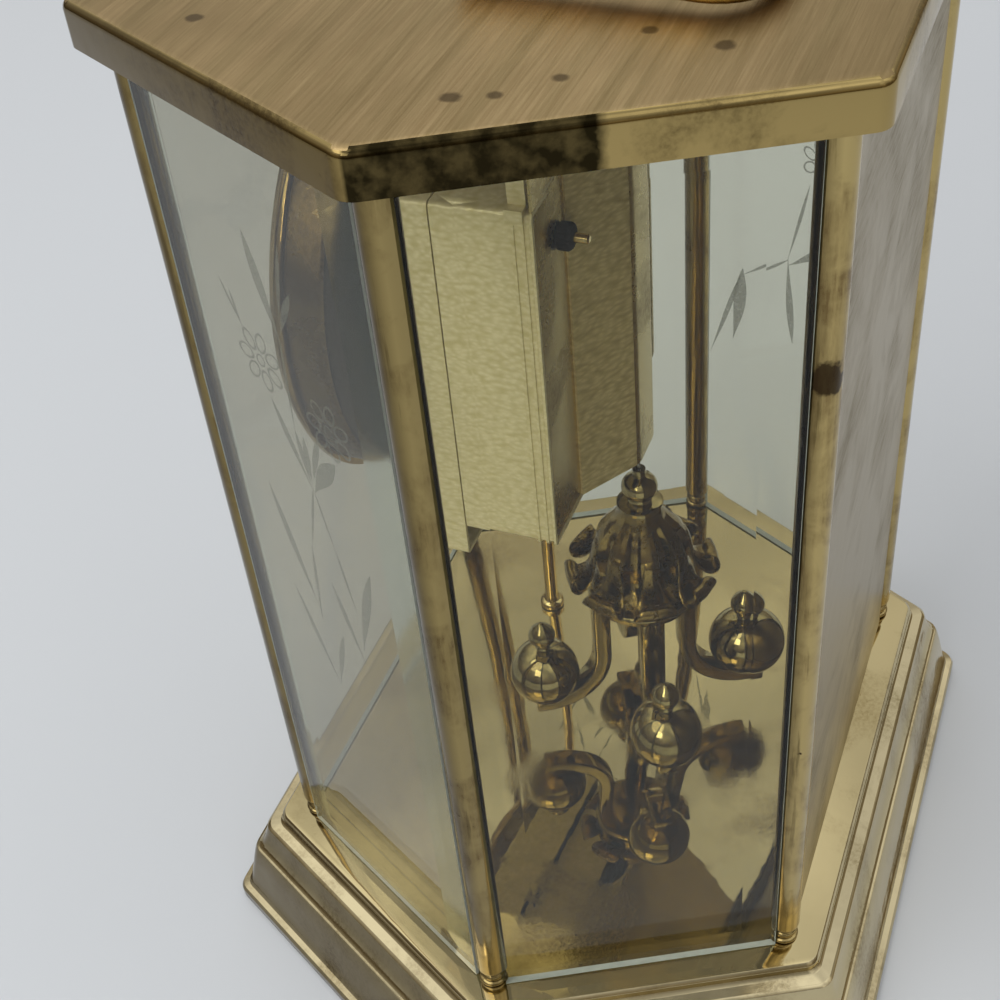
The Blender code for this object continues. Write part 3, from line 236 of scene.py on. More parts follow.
def tarnished_brass(name, clean, dull, spot, patch, amount, smooth, rough, spots=0.3, ripple=0.12,
                    drawn=(1, 1, 1), side=0.45):
    """Lacquered brass, polished or cast. Where the lacquer has gone it is dull, and dark spots eat in.

    The patches break the mirror into bright and brown stretches, which is what the eye reads as age.
    Fine lines along the drawn direction are the marks of polishing. Faces turned to the front right get a
    painted shade, mixed towards the spot colour by up to side."""
    made, tree, shader, place = blank(name)
    patches = add(tree, "TexNoise", {"Vector": place, "Scale": 1000 / patch, "Detail": 8, "Roughness": 0.62,
                                     "Distortion": 0.4})
    worn = add(tree, "MapRange", {"Value": patches, "From Min": 0.58 - amount * 0.3,
                                  "From Max": 0.80 - amount * 0.3})
    along = add(tree, "Mapping", {"Vector": place, "Scale": drawn})
    lines = add(tree, "TexNoise", {"Vector": along, "Scale": 1000 / 0.9, "Detail": 5, "Roughness": 0.65})
    grit = add(tree, "MapRange", {"Value": lines, "From Min": 0.40, "From Max": 0.68})
    eaten = add(tree, "Math", {0: worn, 1: grit}, operation="MULTIPLY")
    spread = add(tree, "Math", {0: worn, 1: 0.55, 2: eaten}, operation="MULTIPLY_ADD", use_clamp=True)
    blots = add(tree, "TexNoise", {"Vector": place, "Scale": 1000 / (patch * 0.45), "Detail": 5,
                                   "Roughness": 0.7, "W": 3}, noise_dimensions="4D")
    dark = add(tree, "MapRange", {"Value": blots, "From Min": 0.70 - spots * 0.08,
                                  "From Max": 0.74 - spots * 0.08})
    # Painted shade: faces turned to the front right are darkened towards the spot colour, by up to side.
    shade_facing = add(tree, "VectorMath", {0: add(tree, "TexCoord").outputs["Normal"], 1: (0.66, -0.75, 0)},
                 operation="DOT_PRODUCT")
    side_shade = add(tree, "MapRange", {"Value": shade_facing, "From Min": 0.25, "From Max": 1, "To Max": side})
    ground = add(tree, "Mix", {"Factor": spread, "A": clean, "B": dull})
    ground = add(tree, "Mix", {"Factor": side_shade, "A": ground, "B": spot})
    colour = add(tree, "Mix", {"Factor": dark, "A": ground, "B": spot})
    gloss = add(tree, "MapRange", {"Value": spread, "To Min": smooth, "To Max": rough})
    matt = add(tree, "Math", {0: dark, 1: 0.35, 2: gloss}, operation="MULTIPLY_ADD", use_clamp=True)
    wave = add(tree, "TexNoise", {"Vector": place, "Scale": 1000 / 9, "Detail": 2})
    swell = add(tree, "Bump", {"Height": wave, "Strength": ripple, "Distance": 0.5 * MM})
    pits = add(tree, "Bump", {"Height": eaten, "Normal": swell, "Strength": 0.14, "Distance": 0.15 * MM},
               invert=True)
    feed(shader, {"Base Color": colour, "Roughness": matt, "Normal": pits, "Metallic": 1})
    return made


# Pressed and lacquered brass: pale where it is clean, with broad olive patches and soft reflections.
# Faces turned to the front right carry a strong painted shade (side=0.85).
base_finish = tarnished_brass("base_lacquered_brass", "#cdbe96", "#9b8b66", "#4a3c24", patch=30, amount=0.35,
                              smooth=0.10, rough=0.26, spots=0, ripple=0.25, side=0.85)
# Mirror-polished brass: it gives back the pendulum almost as a glass mirror would, a little browned.
platform_finish = tarnished_brass("platform_mirror_brass", "#c5b485", "#a39064", "#574628", patch=30,
                                  amount=0.25, smooth=0.025, rough=0.12, spots=0, ripple=0.06)
finished(base_moulding, "base_moulding", base_finish, "case", ["base_shell"])
faced(base_moulding, platform_finish, lambda face: face.normal.z > 0.99 and face.center.z > 27.1 * MM)


# Board and felt: a pressed fibre board fills the foot, and green felt is glued under it.
# Neither shows unless the clock is turned over.
def grained(name, low, high, grain, detail, height, depth, levels, roughness=0.5):
    """A material with one fine grain, which varies its colour and lifts its surface.

    The levels go to the shader, and one given as a pair follows the grain too."""
    made, tree, shader, place = blank(name)
    noise = add(tree, "TexNoise", {"Vector": place, "Scale": 1000 / grain, "Detail": detail,
                                   "Roughness": roughness})
    feed(shader, {"Base Color": add(tree, "Mix", {"Factor": noise, "A": low, "B": high}),
                  "Normal": add(tree, "Bump", {"Height": noise, "Strength": height, "Distance": depth * MM})})
    for socket, level in levels.items():
        if isinstance(level, tuple):
            level = add(tree, "MapRange", {"Value": noise, "To Min": level[0], "To Max": level[1]})
        feed(shader, {socket: level})
    return made


def given(finish, *names):
    """Puts a finish on CAD nodes whose shape stays."""
    for name in names:
        nodes[name].data.materials.clear()
        nodes[name].data.materials.append(finish)


# Pressed fibre board: brown, with short fibres that lie every way, and quite matt.
board_finish = grained("pressed_fibre_board", "#5c4431", "#8a6b4d", 1.11, 6, 0.3, 0.2, {"Roughness": 0.85})
given(board_finish, "base_board")
# Wool felt: dark green with a rough nap that catches light at its edge.
felt_finish = grained("green_wool_felt", "#1d3a2b", "#3a614a", 0.625, 8, 0.6, 0.4,
                      {"Roughness": 0.95, "Sheen Weight": 0.4}, 0.7)
given(felt_finish, "base_felt")


# Posts: six brass rods, 6.4 mm thick, turned down at the foot into two fine rings and riveted
# through the platform. Their lacquer is worn, and brown stretches alternate with bright ones.
platform = 27.2
post_profile = [
    (0, -3.0), (1.7, -3.0), (1.7, 0.3), (2.9, 0.3), (3.05, 0.5), (3.05, 1.0), (2.9, 1.2), (2.45, 1.35),
    (2.4, 1.6), (2.45, 1.8), (2.75, 2.0), (2.8, 2.2), (2.8, 2.9), (2.65, 3.1), (2.45, 3.3), (2.5, 3.6),
    (2.85, 4.2), (3.1, 4.6), (3.2, 5.2), (3.2, 194.2), (0, 194.2),
]
post_places = {
    "front_right": (front_half, -half_depth), "right_tip": (half_width, 0),
    "rear_right": (front_half, half_depth), "rear_left": (-front_half, half_depth),
    "left_tip": (-half_width, 0), "front_left": (-front_half, -half_depth),
}


def traced(profile, depth=0):
    """Draws a chain of edges through points across and up, and stays in edit mode."""
    clear()
    bpy.ops.mesh.primitive_plane_add(size=1 * MM, location=(0, 0, 0))
    piece = opened()
    bpy.ops.mesh.select_mode(type="VERT")
    bpy.ops.mesh.select_all(action="SELECT")
    bpy.ops.mesh.merge(type="CENTER")
    bpy.ops.transform.translate(value=(profile[0][0] * MM, depth * MM, profile[0][1] * MM))
    for (x0, z0), (x1, z1) in zip(profile, profile[1:]):
        drawn_out(x1 - x0, 0, z1 - z0)
    bpy.ops.mesh.select_all(action="SELECT")
    return piece


def closed_up():
    """Merges doubles, turns the faces outwards and leaves edit mode."""
    bpy.ops.mesh.select_all(action="SELECT")
    bpy.ops.mesh.remove_doubles(threshold=MM / 1000)
    bpy.ops.mesh.normals_make_consistent(inside=False)
    bpy.ops.object.mode_set(mode="OBJECT")


def turned(profile, sides, spot, turn=(0, 0, 0)):
    """Spins a half section round the axis, turns it by an angle in degrees and puts it at its place."""
    piece = traced(profile)
    bpy.ops.mesh.spin(steps=sides, angle=math.tau, center=(0, 0, 0), axis=(0, 0, 1))
    closed_up()
    moved(piece, spot, turn)
    return piece


def reopened(finish):
    """The tree, the shader, the place on the piece and the colour of a finish, to add more to it."""
    tree = finish.node_tree
    shader = tree.nodes["Principled BSDF"]
    colour = shader.inputs["Base Color"].links[0].from_socket
    return tree, shader, add(tree, "TexCoord").outputs["Object"], colour


# Drawn rod with worn lacquer: lines run along it, and a painted shade darkens the sides turned to the front
# right.
post_finish = tarnished_brass("post_worn_brass", "#bba66f", "#857048", "#3a2c18", patch=15, amount=0.4,
                              smooth=0.12, rough=0.30, spots=0.2, ripple=0.2, drawn=(1, 1, 0.12), side=0.8)
tree, shader, place, old = reopened(post_finish)
# Brown runs down the rod, where damp has crept under the lacquer, and a painted shade gathers them on the sides
# turned to the front.
thin = add(tree, "Mapping", {"Vector": place, "Scale": (1, 1, 0.07)})
runs = add(tree, "TexNoise", {"Vector": thin, "Scale": 1000 / 2.6, "Detail": 6, "Roughness": 0.6})
shade_facing = add(tree, "VectorMath", {0: add(tree, "TexCoord").outputs["Normal"], 1: (0.06, -0.20, 0)},
             operation="DOT_PRODUCT")
runs_and_shade = add(tree, "Math", {0: runs, 1: shade_facing}, operation="ADD")
streaks_and_shade = add(tree, "MapRange", {"Value": runs_and_shade, "From Min": 0.60, "From Max": 0.70, "To Max": 0.75})
old = add(tree, "Mix", {"Factor": streaks_and_shade, "A": old, "B": "#4b3c20"})
# The right-hand posts get a painted shade towards the front.
apart = add(tree, "SeparateXYZ", {"Vector": place})
front_shade = add(tree, "MapRange", {"Value": apart.outputs["Y"], "From Min": 45 * MM, "From Max": 20 * MM,
                                   "To Max": 0.42})
right_side = add(tree, "Math", {0: apart.outputs["X"], 1: 0}, operation="GREATER_THAN")
right_front_shade = add(tree, "Math", {0: front_shade, 1: right_side}, operation="MULTIPLY")
old = add(tree, "Mix", {"Factor": right_front_shade, "A": old, "B": "#55482a"})
# One ragged black blot is eaten into the rear right post.
blot_far = add(tree, "VectorMath", {0: place, 1: (52.3 * MM, 56.2 * MM, 176.5 * MM)}, operation="DISTANCE")
blot_edge = add(tree, "TexNoise", {"Vector": place, "Scale": 1000 / 2.38, "Detail": 4})
blot_wide = add(tree, "Math", {0: blot_edge, 1: -5.2 * MM, 2: blot_far}, operation="MULTIPLY_ADD")
blot = add(tree, "MapRange", {"Value": blot_wide, "From Min": 0.2 * MM, "From Max": 1.0 * MM, "To Min": 0.9,
                              "To Max": 0})
old = add(tree, "Mix", {"Factor": blot, "A": old, "B": "#2e2114"})
feed(shader, {"Base Color": old})

for name, (x, y) in post_places.items():
    piece = turned(post_profile, 40, (x, y, platform))
    finished(piece, f"turned_post_{name}", post_finish, "case", [f"post_{name}"], 40)


# Glass: five 3 mm plates with a wide ground bevel on all four edges, slid into grooves in the posts.
# The edges are ground and left frosted, so a bevel that is looked along shows them as a pale strip.
pane_ends = {
    "glass_front_right": ("front_right", "right_tip"), "glass_rear_right": ("right_tip", "rear_right"),
    "glass_rear_left": ("rear_left", "left_tip"), "glass_front_left": ("left_tip", "front_left"),
    "glass_front": ("front_left", "front_right"),
}
pane_low = 27.5
pane_high = 221.4
pane_thick = 3.0
bevel_width = 7.5
bevel_depth = 0.3
groove_gap = 4.8

# Float glass: clear with a trace of yellow, and smeared in places. It throws hardly any shadow, as
# light comes through it. Its IOR is low because it stands in a pale room without the dark things
# that the real panes mirror, and at its true IOR it would veil what lies behind it.
glass_finish, tree, shader, place = blank("bevelled_float_glass")
dust = add(tree, "TexNoise", {"Vector": place, "Scale": 1000 / 22, "Detail": 6, "Roughness": 0.6})
film = add(tree, "MapRange", {"Value": dust, "From Min": 0.55, "From Max": 0.9, "To Max": 0.006})
tint = add(tree, "Mix", {"Factor": dust, "A": "#ebece2", "B": "#e7e7dc"})
rays = add(tree, "LightPath")
open_to_light = add(tree, "Math", {0: rays.outputs["Is Shadow Ray"], 1: -1, 2: 1}, operation="MULTIPLY_ADD")
feed(shader, {"Base Color": tint, "Roughness": film, "Alpha": open_to_light, "IOR": 1.3,
              "Transmission Weight": 1})

# Ground edge: grey and frosted, with a painted glow: it emits faintly, standing for the light that travels
# inside the glass.
glowing_edge_finish = grained("painted_glow_glass_edge", "#8b928b", "#a6aca4", 1.5, 6, 0.3, 0.1,
                      {"Roughness": 0.5, "Emission Strength": 0.15})
shader = glowing_edge_finish.node_tree.nodes["Principled BSDF"]
feed(shader, {"Emission Color": shader.inputs["Base Color"].links[0].from_socket})

# The front right pane is tinted greyer than the others, a painted shade that greys what stands behind it.
shaded_pane_finish = glass_finish.copy()
shaded_pane_finish.name = "shade_tinted_float_glass"
for node in shaded_pane_finish.node_tree.nodes:
    if node.type == "MIX":
        feed(node, {"A": "#cac8bd", "B": "#c0bdb0"})

# Its upright bevels scatter the light a little, and read as pale greenish strips beside the posts.
bevel_finish = glass_finish.copy()
bevel_finish.name = "polished_bevel_glass"
shader = bevel_finish.node_tree.nodes["Principled BSDF"]
for socket in ("Base Color", "Roughness"):
    bevel_finish.node_tree.links.remove(shader.inputs[socket].links[0])
feed(shader, {"Base Color": "#c0c8bc", "Roughness": 0.10})


def pane_frame(name):
    """The first end, the direction and the length of a pane between its posts."""
    first, second = [Vector(post_places[end]) for end in pane_ends[name]]
    return first, (second - first).normalized(), (second - first).length


def upright(along):
    """The turn that stands a flat piece up along a direction, in degrees."""
    return 90, 0, math.degrees(math.atan2(along.y, along.x))


for name in pane_ends:
    start, along, length = pane_frame(name)
    outward = Vector((along.y, -along.x, 0))
    middle = start + along * (length / 2)
    clear()
    bpy.ops.mesh.primitive_plane_add(size=1, location=(0, 0, -pane_thick / 2 * MM))
    piece = opened()
    bpy.ops.mesh.select_all(action="SELECT")
    bpy.ops.transform.resize(value=((length - groove_gap) * MM, (pane_high - pane_low) * MM, 1),
                             center_override=(0, 0, 0))
    drawn_out(0, 0, pane_thick - bevel_depth)
    bpy.ops.mesh.inset(thickness=bevel_width * MM, depth=bevel_depth * MM, use_even_offset=True)
    closed_up()
    moved(piece, (middle.x, middle.y, (pane_low + pane_high) / 2), upright(along))
    finish = shaded_pane_finish if name == "glass_front_right" else glass_finish
    finished(piece, "bevelled_" + name, finish, "case", [name], 1)
    faced(piece, glowing_edge_finish, lambda face: abs(face.normal.dot(outward)) < 0.1)
    faced(piece, bevel_finish, lambda face: name == "glass_front_right" and abs(face.normal.z) < 0.01
          and 0.9 < face.normal.dot(outward) < 0.9999)


# Etching: sprays of open flowers with long leaves, sand-blasted through a stencil on the side panes.
# A leaf is given by its tip, its foot and its width, and a flower by its centre and its reach, all
# measured along the pane from its first post, and up.
spray_leaves = [
    ((12.2, 180.7), (16.6, 172.5), 0.8), ((14.8, 179.3), (16.6, 172.0), 0.8),
    ((23.2, 194.1), (28.6, 173.8), 2.7), ((34.3, 186.9), (28.8, 176.5), 1.7),
    ((33.5, 195.4), (29.3, 179.0), 1.1), ((28.3, 176.0), (27.0, 155.0), 0.9),
    ((27.0, 156.0), (29.0, 144.2), 1.5), ((21.1, 160.0), (29.2, 143.2), 1.8),
    ((29.3, 155.8), (29.3, 145.0), 1.7), ((34.2, 158.1), (29.8, 146.0), 1.7),
    ((38.0, 154.5), (29.4, 143.2), 3.8), ((29.2, 144.5), (24.3, 126.5), 0.8),
    ((24.3, 127.8), (21.9, 104.0), 1.0), ((29.2, 143.6), (32.6, 130.2), 0.7),
    ((32.4, 131.5), (35.9, 117.0), 0.9), ((13.0, 136.1), (22.1, 109.5), 2.1),
    ((13.9, 110.7), (24.1, 88.6), 1.6), ((28.8, 106.6), (23.9, 89.2), 1.7),
    ((28.6, 120.9), (35.3, 103.5), 1.6), ((42.6, 132.0), (35.5, 107.5), 2.6),
]
spray_flowers = [(20.4, 167.3, 6.2), (38.0, 161.6, 6.0)]
twig_leaves = [
    ((35.1, 118.6), (46.4, 109.4), 0.7), ((46.0, 111.5), (48.6, 90.0), 3.8),
    ((46.4, 110.0), (56.0, 82.5), 1.4), ((30.0, 140.0), (35.6, 118.0), 0.9),
    ((22.0, 128.0), (35.2, 117.0), 2.0), ((33.0, 96.0), (35.4, 119.0), 2.2),
]
twig_flowers = [(27.0, 146.0, 5.6)]
petals = 7
clear_of_glass = 1.53

# Sand-blasted glass: matt and grey, and unevenly thick, so that the ground shows through.
etched_finish = grained("sand_blasted_glass", "#6c7067", "#868a80", 0.8, 5, 0.3, 0.1,
                        {"Roughness": 0.7, "Alpha": (0.45, 0.8)})

# A flat leaf, one long and one wide, is broadest near its foot and ends in a point.
clear()
bpy.ops.mesh.primitive_grid_add(x_subdivisions=12, y_subdivisions=2, size=1, location=(0, 0, 0))
leaf_shape = opened()
for step in range(13):
    x = step / 12 - 0.5
    broad = max(0.03, math.sin(math.pi * (step / 12) ** 1.35)) ** 0.9
    pick("VERT", lambda part: abs(part.co.x - x) < 0.01)
    bpy.ops.transform.resize(value=(1, broad, 1), center_override=(x, 0, 0))
    bpy.ops.transform.translate(value=(0, 0.22 * (0.25 - x * x) / 0.25 * 0.5, 0))

# A petal is the outline of an oval, one long and one wide.
clear()
bpy.ops.mesh.primitive_circle_add(vertices=20, radius=0.5, fill_type="NGON", location=(0, 0, 0))
petal_shape = opened()
pick("FACE", lambda part: True)
bpy.ops.mesh.inset(thickness=0.13, depth=0)
bpy.ops.mesh.delete(type="FACE")
clear()


def laid(shape, place, size, turn=0):
    """Copies a flat shape with its own mesh, and sizes, turns and places it."""
    made = shape.copy()
    made.data = shape.data.copy()
    bpy.context.collection.objects.link(made)
    moved(made, (*place, 0), (0, 0, turn), (size[0] * MM, size[1] * MM, 1))
    return made


def joined(pieces):
    """Joins pieces into the first."""
    only(pieces[0])
    for piece in pieces:
        piece.select_set(True)
    bpy.ops.object.join()
    return pieces[0]


def spray(name, leaves, flowers, mirrored=False):
    """Lays a spray on the inner face of a pane, with its first post at the left."""
    start, along, length = pane_frame(name)
    bits = []
    for tip, foot, width in leaves:
        middle = ((tip[0] + foot[0]) / 2, (tip[1] + foot[1]) / 2)
        turn = math.degrees(math.atan2(foot[1] - tip[1], foot[0] - tip[0])) + 180
        bits.append(laid(leaf_shape, middle, (math.dist(tip, foot), width), turn))
    for x, z, reach in flowers:
        for petal in range(petals):
            turn = math.tau * petal / petals + 0.4
            spot = (x + reach * 0.66 * math.cos(turn), z + reach * 0.66 * math.sin(turn))
            bits.append(laid(petal_shape, spot, (reach * 0.72, reach * 0.5), math.degrees(turn)))
        bits.append(laid(petal_shape, (x, z), (reach * 0.42, reach * 0.42)))
    piece = joined(bits)
    if mirrored:
        moved(piece, (length, 0, 0), size=(-1, 1, 1))
    moved(piece, (*(start + Vector((-along.y, along.x)) * clear_of_glass), 0), upright(along))
    finished(piece, "etched_spray_" + name[6:], etched_finish, "case")


spray("glass_front_right", spray_leaves, spray_flowers)
spray("glass_front_left", spray_leaves, spray_flowers, mirrored=True)
spray("glass_rear_left", twig_leaves, twig_flowers)
for shape in (leaf_shape, petal_shape):
    bpy.data.objects.remove(shape, do_unlink=True)


# Lid: pressed brass sheet with a rounded edge and a 7.5 mm skirt. Its top is brushed from side to
# side and lacquered tan, and damp has left dark spots in it. A painted dark reflection lies on the skirt at one
# corner.
lid_overhang = 7.5
skirt_low = 218.7
skirt_side = 5.9
lid_edge = 1.6
lid_top = 226.2
lid_corner = 1.9
lid_wall = 1.1
edge_steps = 4
lid_spots = [
    (55.9, -37.1, 1.0), (47.2, 28.3, 0.8), (49.8, 39.3, 1.1), (70.7, 8.9, 1.2), (68.9, 14.4, 0.7),
    (62.6, 21.0, 0.8), (-30.0, -20.0, 1.0), (-52.0, 12.0, 0.8),
]
spot_radius = 1.2

# Brushed brass under tan lacquer: fine bright and olive lines run from side to side, and each damp
# spot is dark with a ragged edge. The lines are drawn 0.5 mm wide, coarser than the real ones, to show.
brushed_finish, tree, shader, place = blank("brushed_tan_lacquered_brass")
along = add(tree, "Mapping", {"Vector": place, "Scale": (0.03, 1, 1)})
streak = add(tree, "TexNoise", {"Vector": along, "Scale": 1000 / 0.5, "Detail": 6, "Roughness": 0.7})
broad = add(tree, "TexNoise", {"Vector": along, "Scale": 1000 / 3.5, "Detail": 4})
cloud = add(tree, "TexNoise", {"Vector": place, "Scale": 1000 / 34, "Detail": 5})
fine = add(tree, "MapRange", {"Value": streak, "From Min": 0.32, "From Max": 0.68})
wide = add(tree, "MapRange", {"Value": broad, "From Min": 0.35, "From Max": 0.65})
tan = add(tree, "Mix", {"Factor": fine, "A": "#a38a5f", "B": "#bfa67a"})
olive = add(tree, "Mix", {"Factor": fine, "A": "#8f7a50", "B": "#b09a6e"})
tone = add(tree, "Mix", {"Factor": wide, "A": tan, "B": olive})
shade = add(tree, "MapRange", {"Value": cloud, "From Min": 0.35, "From Max": 0.8, "To Max": 0.5})
aged = add(tree, "Mix", {"Factor": shade, "A": tone, "B": "#7f6b46"})
ragged = add(tree, "TexNoise", {"Vector": place, "Scale": 1000 / 2.5, "Detail": 5})
spots = None
for x, y, grow in lid_spots:
    radius = spot_radius * grow * MM
    far = add(tree, "VectorMath", {0: place, 1: (x * MM, y * MM, lid_top * MM)}, operation="DISTANCE")
    bitten = add(tree, "Math", {0: ragged, 1: -1.2 * radius, 2: far}, operation="MULTIPLY_ADD")
    mask = add(tree, "MapRange", {"Value": bitten, "From Min": 0.2 * radius,
                                  "From Max": 0.2 * radius + 0.6 * MM, "To Min": 1, "To Max": 0})
    spots = add(tree, "Math", {0: spots, 1: mask}, operation="MAXIMUM") if spots else mask
soft = add(tree, "Math", {0: spots, 1: 0.75}, operation="MULTIPLY")
feed(shader, {
    "Base Color": add(tree, "Mix", {"Factor": soft, "A": aged, "B": "#4a3a24"}),
    "Roughness": add(tree, "MapRange", {"Value": streak, "To Min": 0.30, "To Max": 0.50}),
    "Normal": add(tree, "Bump", {"Height": streak, "Strength": 0.25, "Distance": 0.2 * MM}),
    "Metallic": 1,
})

# Polished brass with a painted dark reflection on the rear right side, standing for dark surroundings
# mirrored there. It starts at the right tip and stops after 35 mm at a ragged upright edge. Faces
# turned to the front right carry a painted shade as well.
skirt_finish = tarnished_brass("skirt_polished_brass", "#aa945f", "#6f5e3a", "#33240f", patch=22, amount=0.35,
                               smooth=0.09, rough=0.28, spots=0.2, ripple=0.2, side=0.8)
tree, shader, place, old = reopened(skirt_finish)
flank = Vector((front_half - half_width, half_depth, 0)).normalized()
start = flank.x * case_outline(lid_overhang)[2] * MM
run = add(tree, "VectorMath", {0: place, 1: tuple(flank)}, operation="DOT_PRODUCT")
ragged = add(tree, "TexNoise", {"Vector": place, "Scale": 1000 / 3, "Detail": 6})
shifted = add(tree, "Math", {0: ragged, 1: 3 * MM, 2: run}, operation="MULTIPLY_ADD")
dark_reflection = add(tree, "MapRange", {"Value": shifted, "From Min": start + 34.3 * MM,
                               "From Max": start + 35.7 * MM, "To Min": 1, "To Max": 0})
apart = add(tree, "SeparateXYZ", {"Vector": place})
for axis, low, high in (("Y", 0, 0.6), ("X", 60, 62)):
    beyond = add(tree, "MapRange", {"Value": apart.outputs[axis], "From Min": low * MM, "From Max": high * MM})
    dark_reflection = add(tree, "Math", {0: dark_reflection, 1: beyond}, operation="MULTIPLY")
mottle = add(tree, "MapRange", {"Value": ragged, "From Min": 0.36, "From Max": 0.60, "To Min": 0.80,
                                "To Max": 1})
dark_reflection = add(tree, "Math", {0: dark_reflection, 1: mottle}, operation="MULTIPLY")
reflection_darkened = add(tree, "Mix", {"Factor": dark_reflection, "A": old, "B": "#262011"})
feed(shader, {"Base Color": reflection_darkened})

lid = six_sided(lid_overhang, skirt_low)
rise(0, skirt_side)
for step in range(1, edge_steps + 1):
    turn = math.radians(90 * step / edge_steps)
    before = math.radians(90 * (step - 1) / edge_steps)
    rise(-lid_edge * (math.cos(before) - math.cos(turn)), lid_edge * (math.sin(turn) - math.sin(before)))
mitres_rounded(lid_corner, 5)
walled(lid, lid_wall)
finished(lid, "pressed_lid", brushed_finish, "case", ["lid"], 40)
faced(lid, skirt_finish, lambda face: abs(face.normal.z) < 0.85 or face.center.z < 225.5 * MM)
given(skirt_finish, "top_frame")


# Rear door: thin brass sheet, folded over at its edges, satin inside. It turns on two steel pins at
# its left edge, and closes against a small angle under the top plate.

# Rubbed sheet: it spreads its reflections along fine level lines, with clouds of tarnish.
door_finish = tarnished_brass("door_satin_brass", "#a0906c", "#80714f", "#5b4a2e", patch=40, amount=0.3,
                              smooth=0.30, rough=0.44, spots=0, ripple=0.3, drawn=(0.1, 1, 1))
given(door_finish, "rear_door", "door_stop")


# Movement case: two sheet trays, pressed with a leather grain. The front one stands on two thin
# columns, and the rear one closes it, with three folds round its edge, two lips that stand up to
# the lid, and a guard round the pendulum's wire.
tray_side = 32
tray_wall = 0.8
tray_fold = 1.1
tray_high = 185.2
front_tray_low = 104.2
front_tray_front = -30
front_tray_back = -15.3
rear_tray_low = 111.5
rear_tray_front = -15
rear_tray_back = 2.6
fold_out = 0.35
fold_up = 0.3
fold_half = 0.25
fold_places = (-0.8, 1.0, 2.55)
lip_size = (27.4, 8.6)
lip_place = (18, 2.5, 189.4)
lip_corner = 1.0
lip_wall = 0.5
guard_plan = [(-17, 2.75), (-4.9, 10.75), (4.9, 10.75), (17, 2.75)]
guard_low = 112.0
guard_tall = 72.9

# Leather-grained sheet under cream lacquer: small soft swellings with shallow creases between, which
# break the light into a fine crinkle. They are drawn 0.75 mm wide and a little taller than wide.
grained_finish, tree, shader, place = blank("leather_grained_lacquer")
flat = add(tree, "Mapping", {"Vector": place, "Scale": (0.55, 0.55, 1)})
bend = add(tree, "TexNoise", {"Vector": flat, "Scale": 1000 / 3, "Detail": 3})
pulled = add(tree, "VectorMath", {0: bend.outputs["Color"], 1: (1.2 * MM, 1.2 * MM, 1.2 * MM), 2: flat},
             operation="MULTIPLY_ADD")
cells = add(tree, "TexVoronoi", {"Vector": pulled, "Scale": 1000 / 0.75, "Smoothness": 0.9},
            feature="SMOOTH_F1")
swelling = add(tree, "MapRange", {"Value": cells, "From Min": 0.75, "From Max": 0.15, "To Min": 0, "To Max": 1})
cloud = add(tree, "TexNoise", {"Vector": place, "Scale": 1000 / 30, "Detail": 4})
high = add(tree, "Mix", {"Factor": cloud, "A": "#ece0ac", "B": "#f8eec2"})
feed(shader, {
    "Base Color": add(tree, "Mix", {"Factor": swelling, "A": "#dacd94", "B": high}),
    "Normal": add(tree, "Bump", {"Height": swelling, "Strength": 0.5, "Distance": 0.15 * MM}),
    "Roughness": 0.36,
    "Metallic": 0.15,
})

# The guard has the same grain in deeper yellow, and looks brown because it stands in the shade.
guard_finish = grained_finish.copy()
guard_finish.name = "leather_grained_brown_lacquer"
for node in guard_finish.node_tree.nodes:
    if node.type == "MAPPING":
        feed(node, {"Scale": (0.42, 0.42, 1)})
    if node.type == "MIX" and not node.inputs["B"].is_linked:
        feed(node, {"A": "#efdc98", "B": "#f6e7a8"})
    elif node.type == "MIX":
        feed(node, {"A": "#c4b072"})

# Smooth rolled brass sheet, olive and half matt.
sheet_finish = tarnished_brass("tray_smooth_brass", "#d2bf84", "#a5915c", "#3a321f", patch=26, amount=0.4,
                               smooth=0.24, rough=0.42, spots=0.1, ripple=0.3)


def tray(low, high, open_sides):
    """A box-shaped sheet tray between two corners, open at the front (-1), the rear (1) or both."""
    clear()
    bpy.ops.mesh.primitive_cube_add(size=1, location=(0, 0, 0))
    moved(bpy.context.object, [(a + b) / 2 for a, b in zip(low, high)],
          size=[(b - a) * MM for a, b in zip(low, high)])
    piece = opened()
    pick("FACE", lambda part: any(part.normal.y * side > 0.9 for side in open_sides))
    bpy.ops.mesh.delete(type="FACE")
    pick("EDGE", lambda part: len(part.link_faces) == 2)
    bpy.ops.mesh.bevel(offset=tray_fold * MM, segments=4, affect="EDGES")
    closed_up()
    walled(piece, tray_wall)
    return piece


front_tray = tray((-tray_side, front_tray_front, front_tray_low), (tray_side, front_tray_back, tray_high), (1,))
finished(front_tray, "movement_front_tray", grained_finish, "case", ["movement_frame"])
rear_tray = tray((-tray_side, rear_tray_front, rear_tray_low), (tray_side, rear_tray_back, tray_high), (-1,))
finished(rear_tray, "movement_rear_tray", grained_finish, "case", ["movement_cover"])
faced(rear_tray, sheet_finish, lambda face: face.normal.y > 0.8)
fold_side = tray_side + fold_out
folds = [tray((-fold_side, y - fold_half, rear_tray_low - fold_up),
              (fold_side, y + fold_half, tray_high + fold_up), (-1, 1)) for y in fold_places]
finished(joined(folds), "movement_tray_folds", grained_finish, "case")

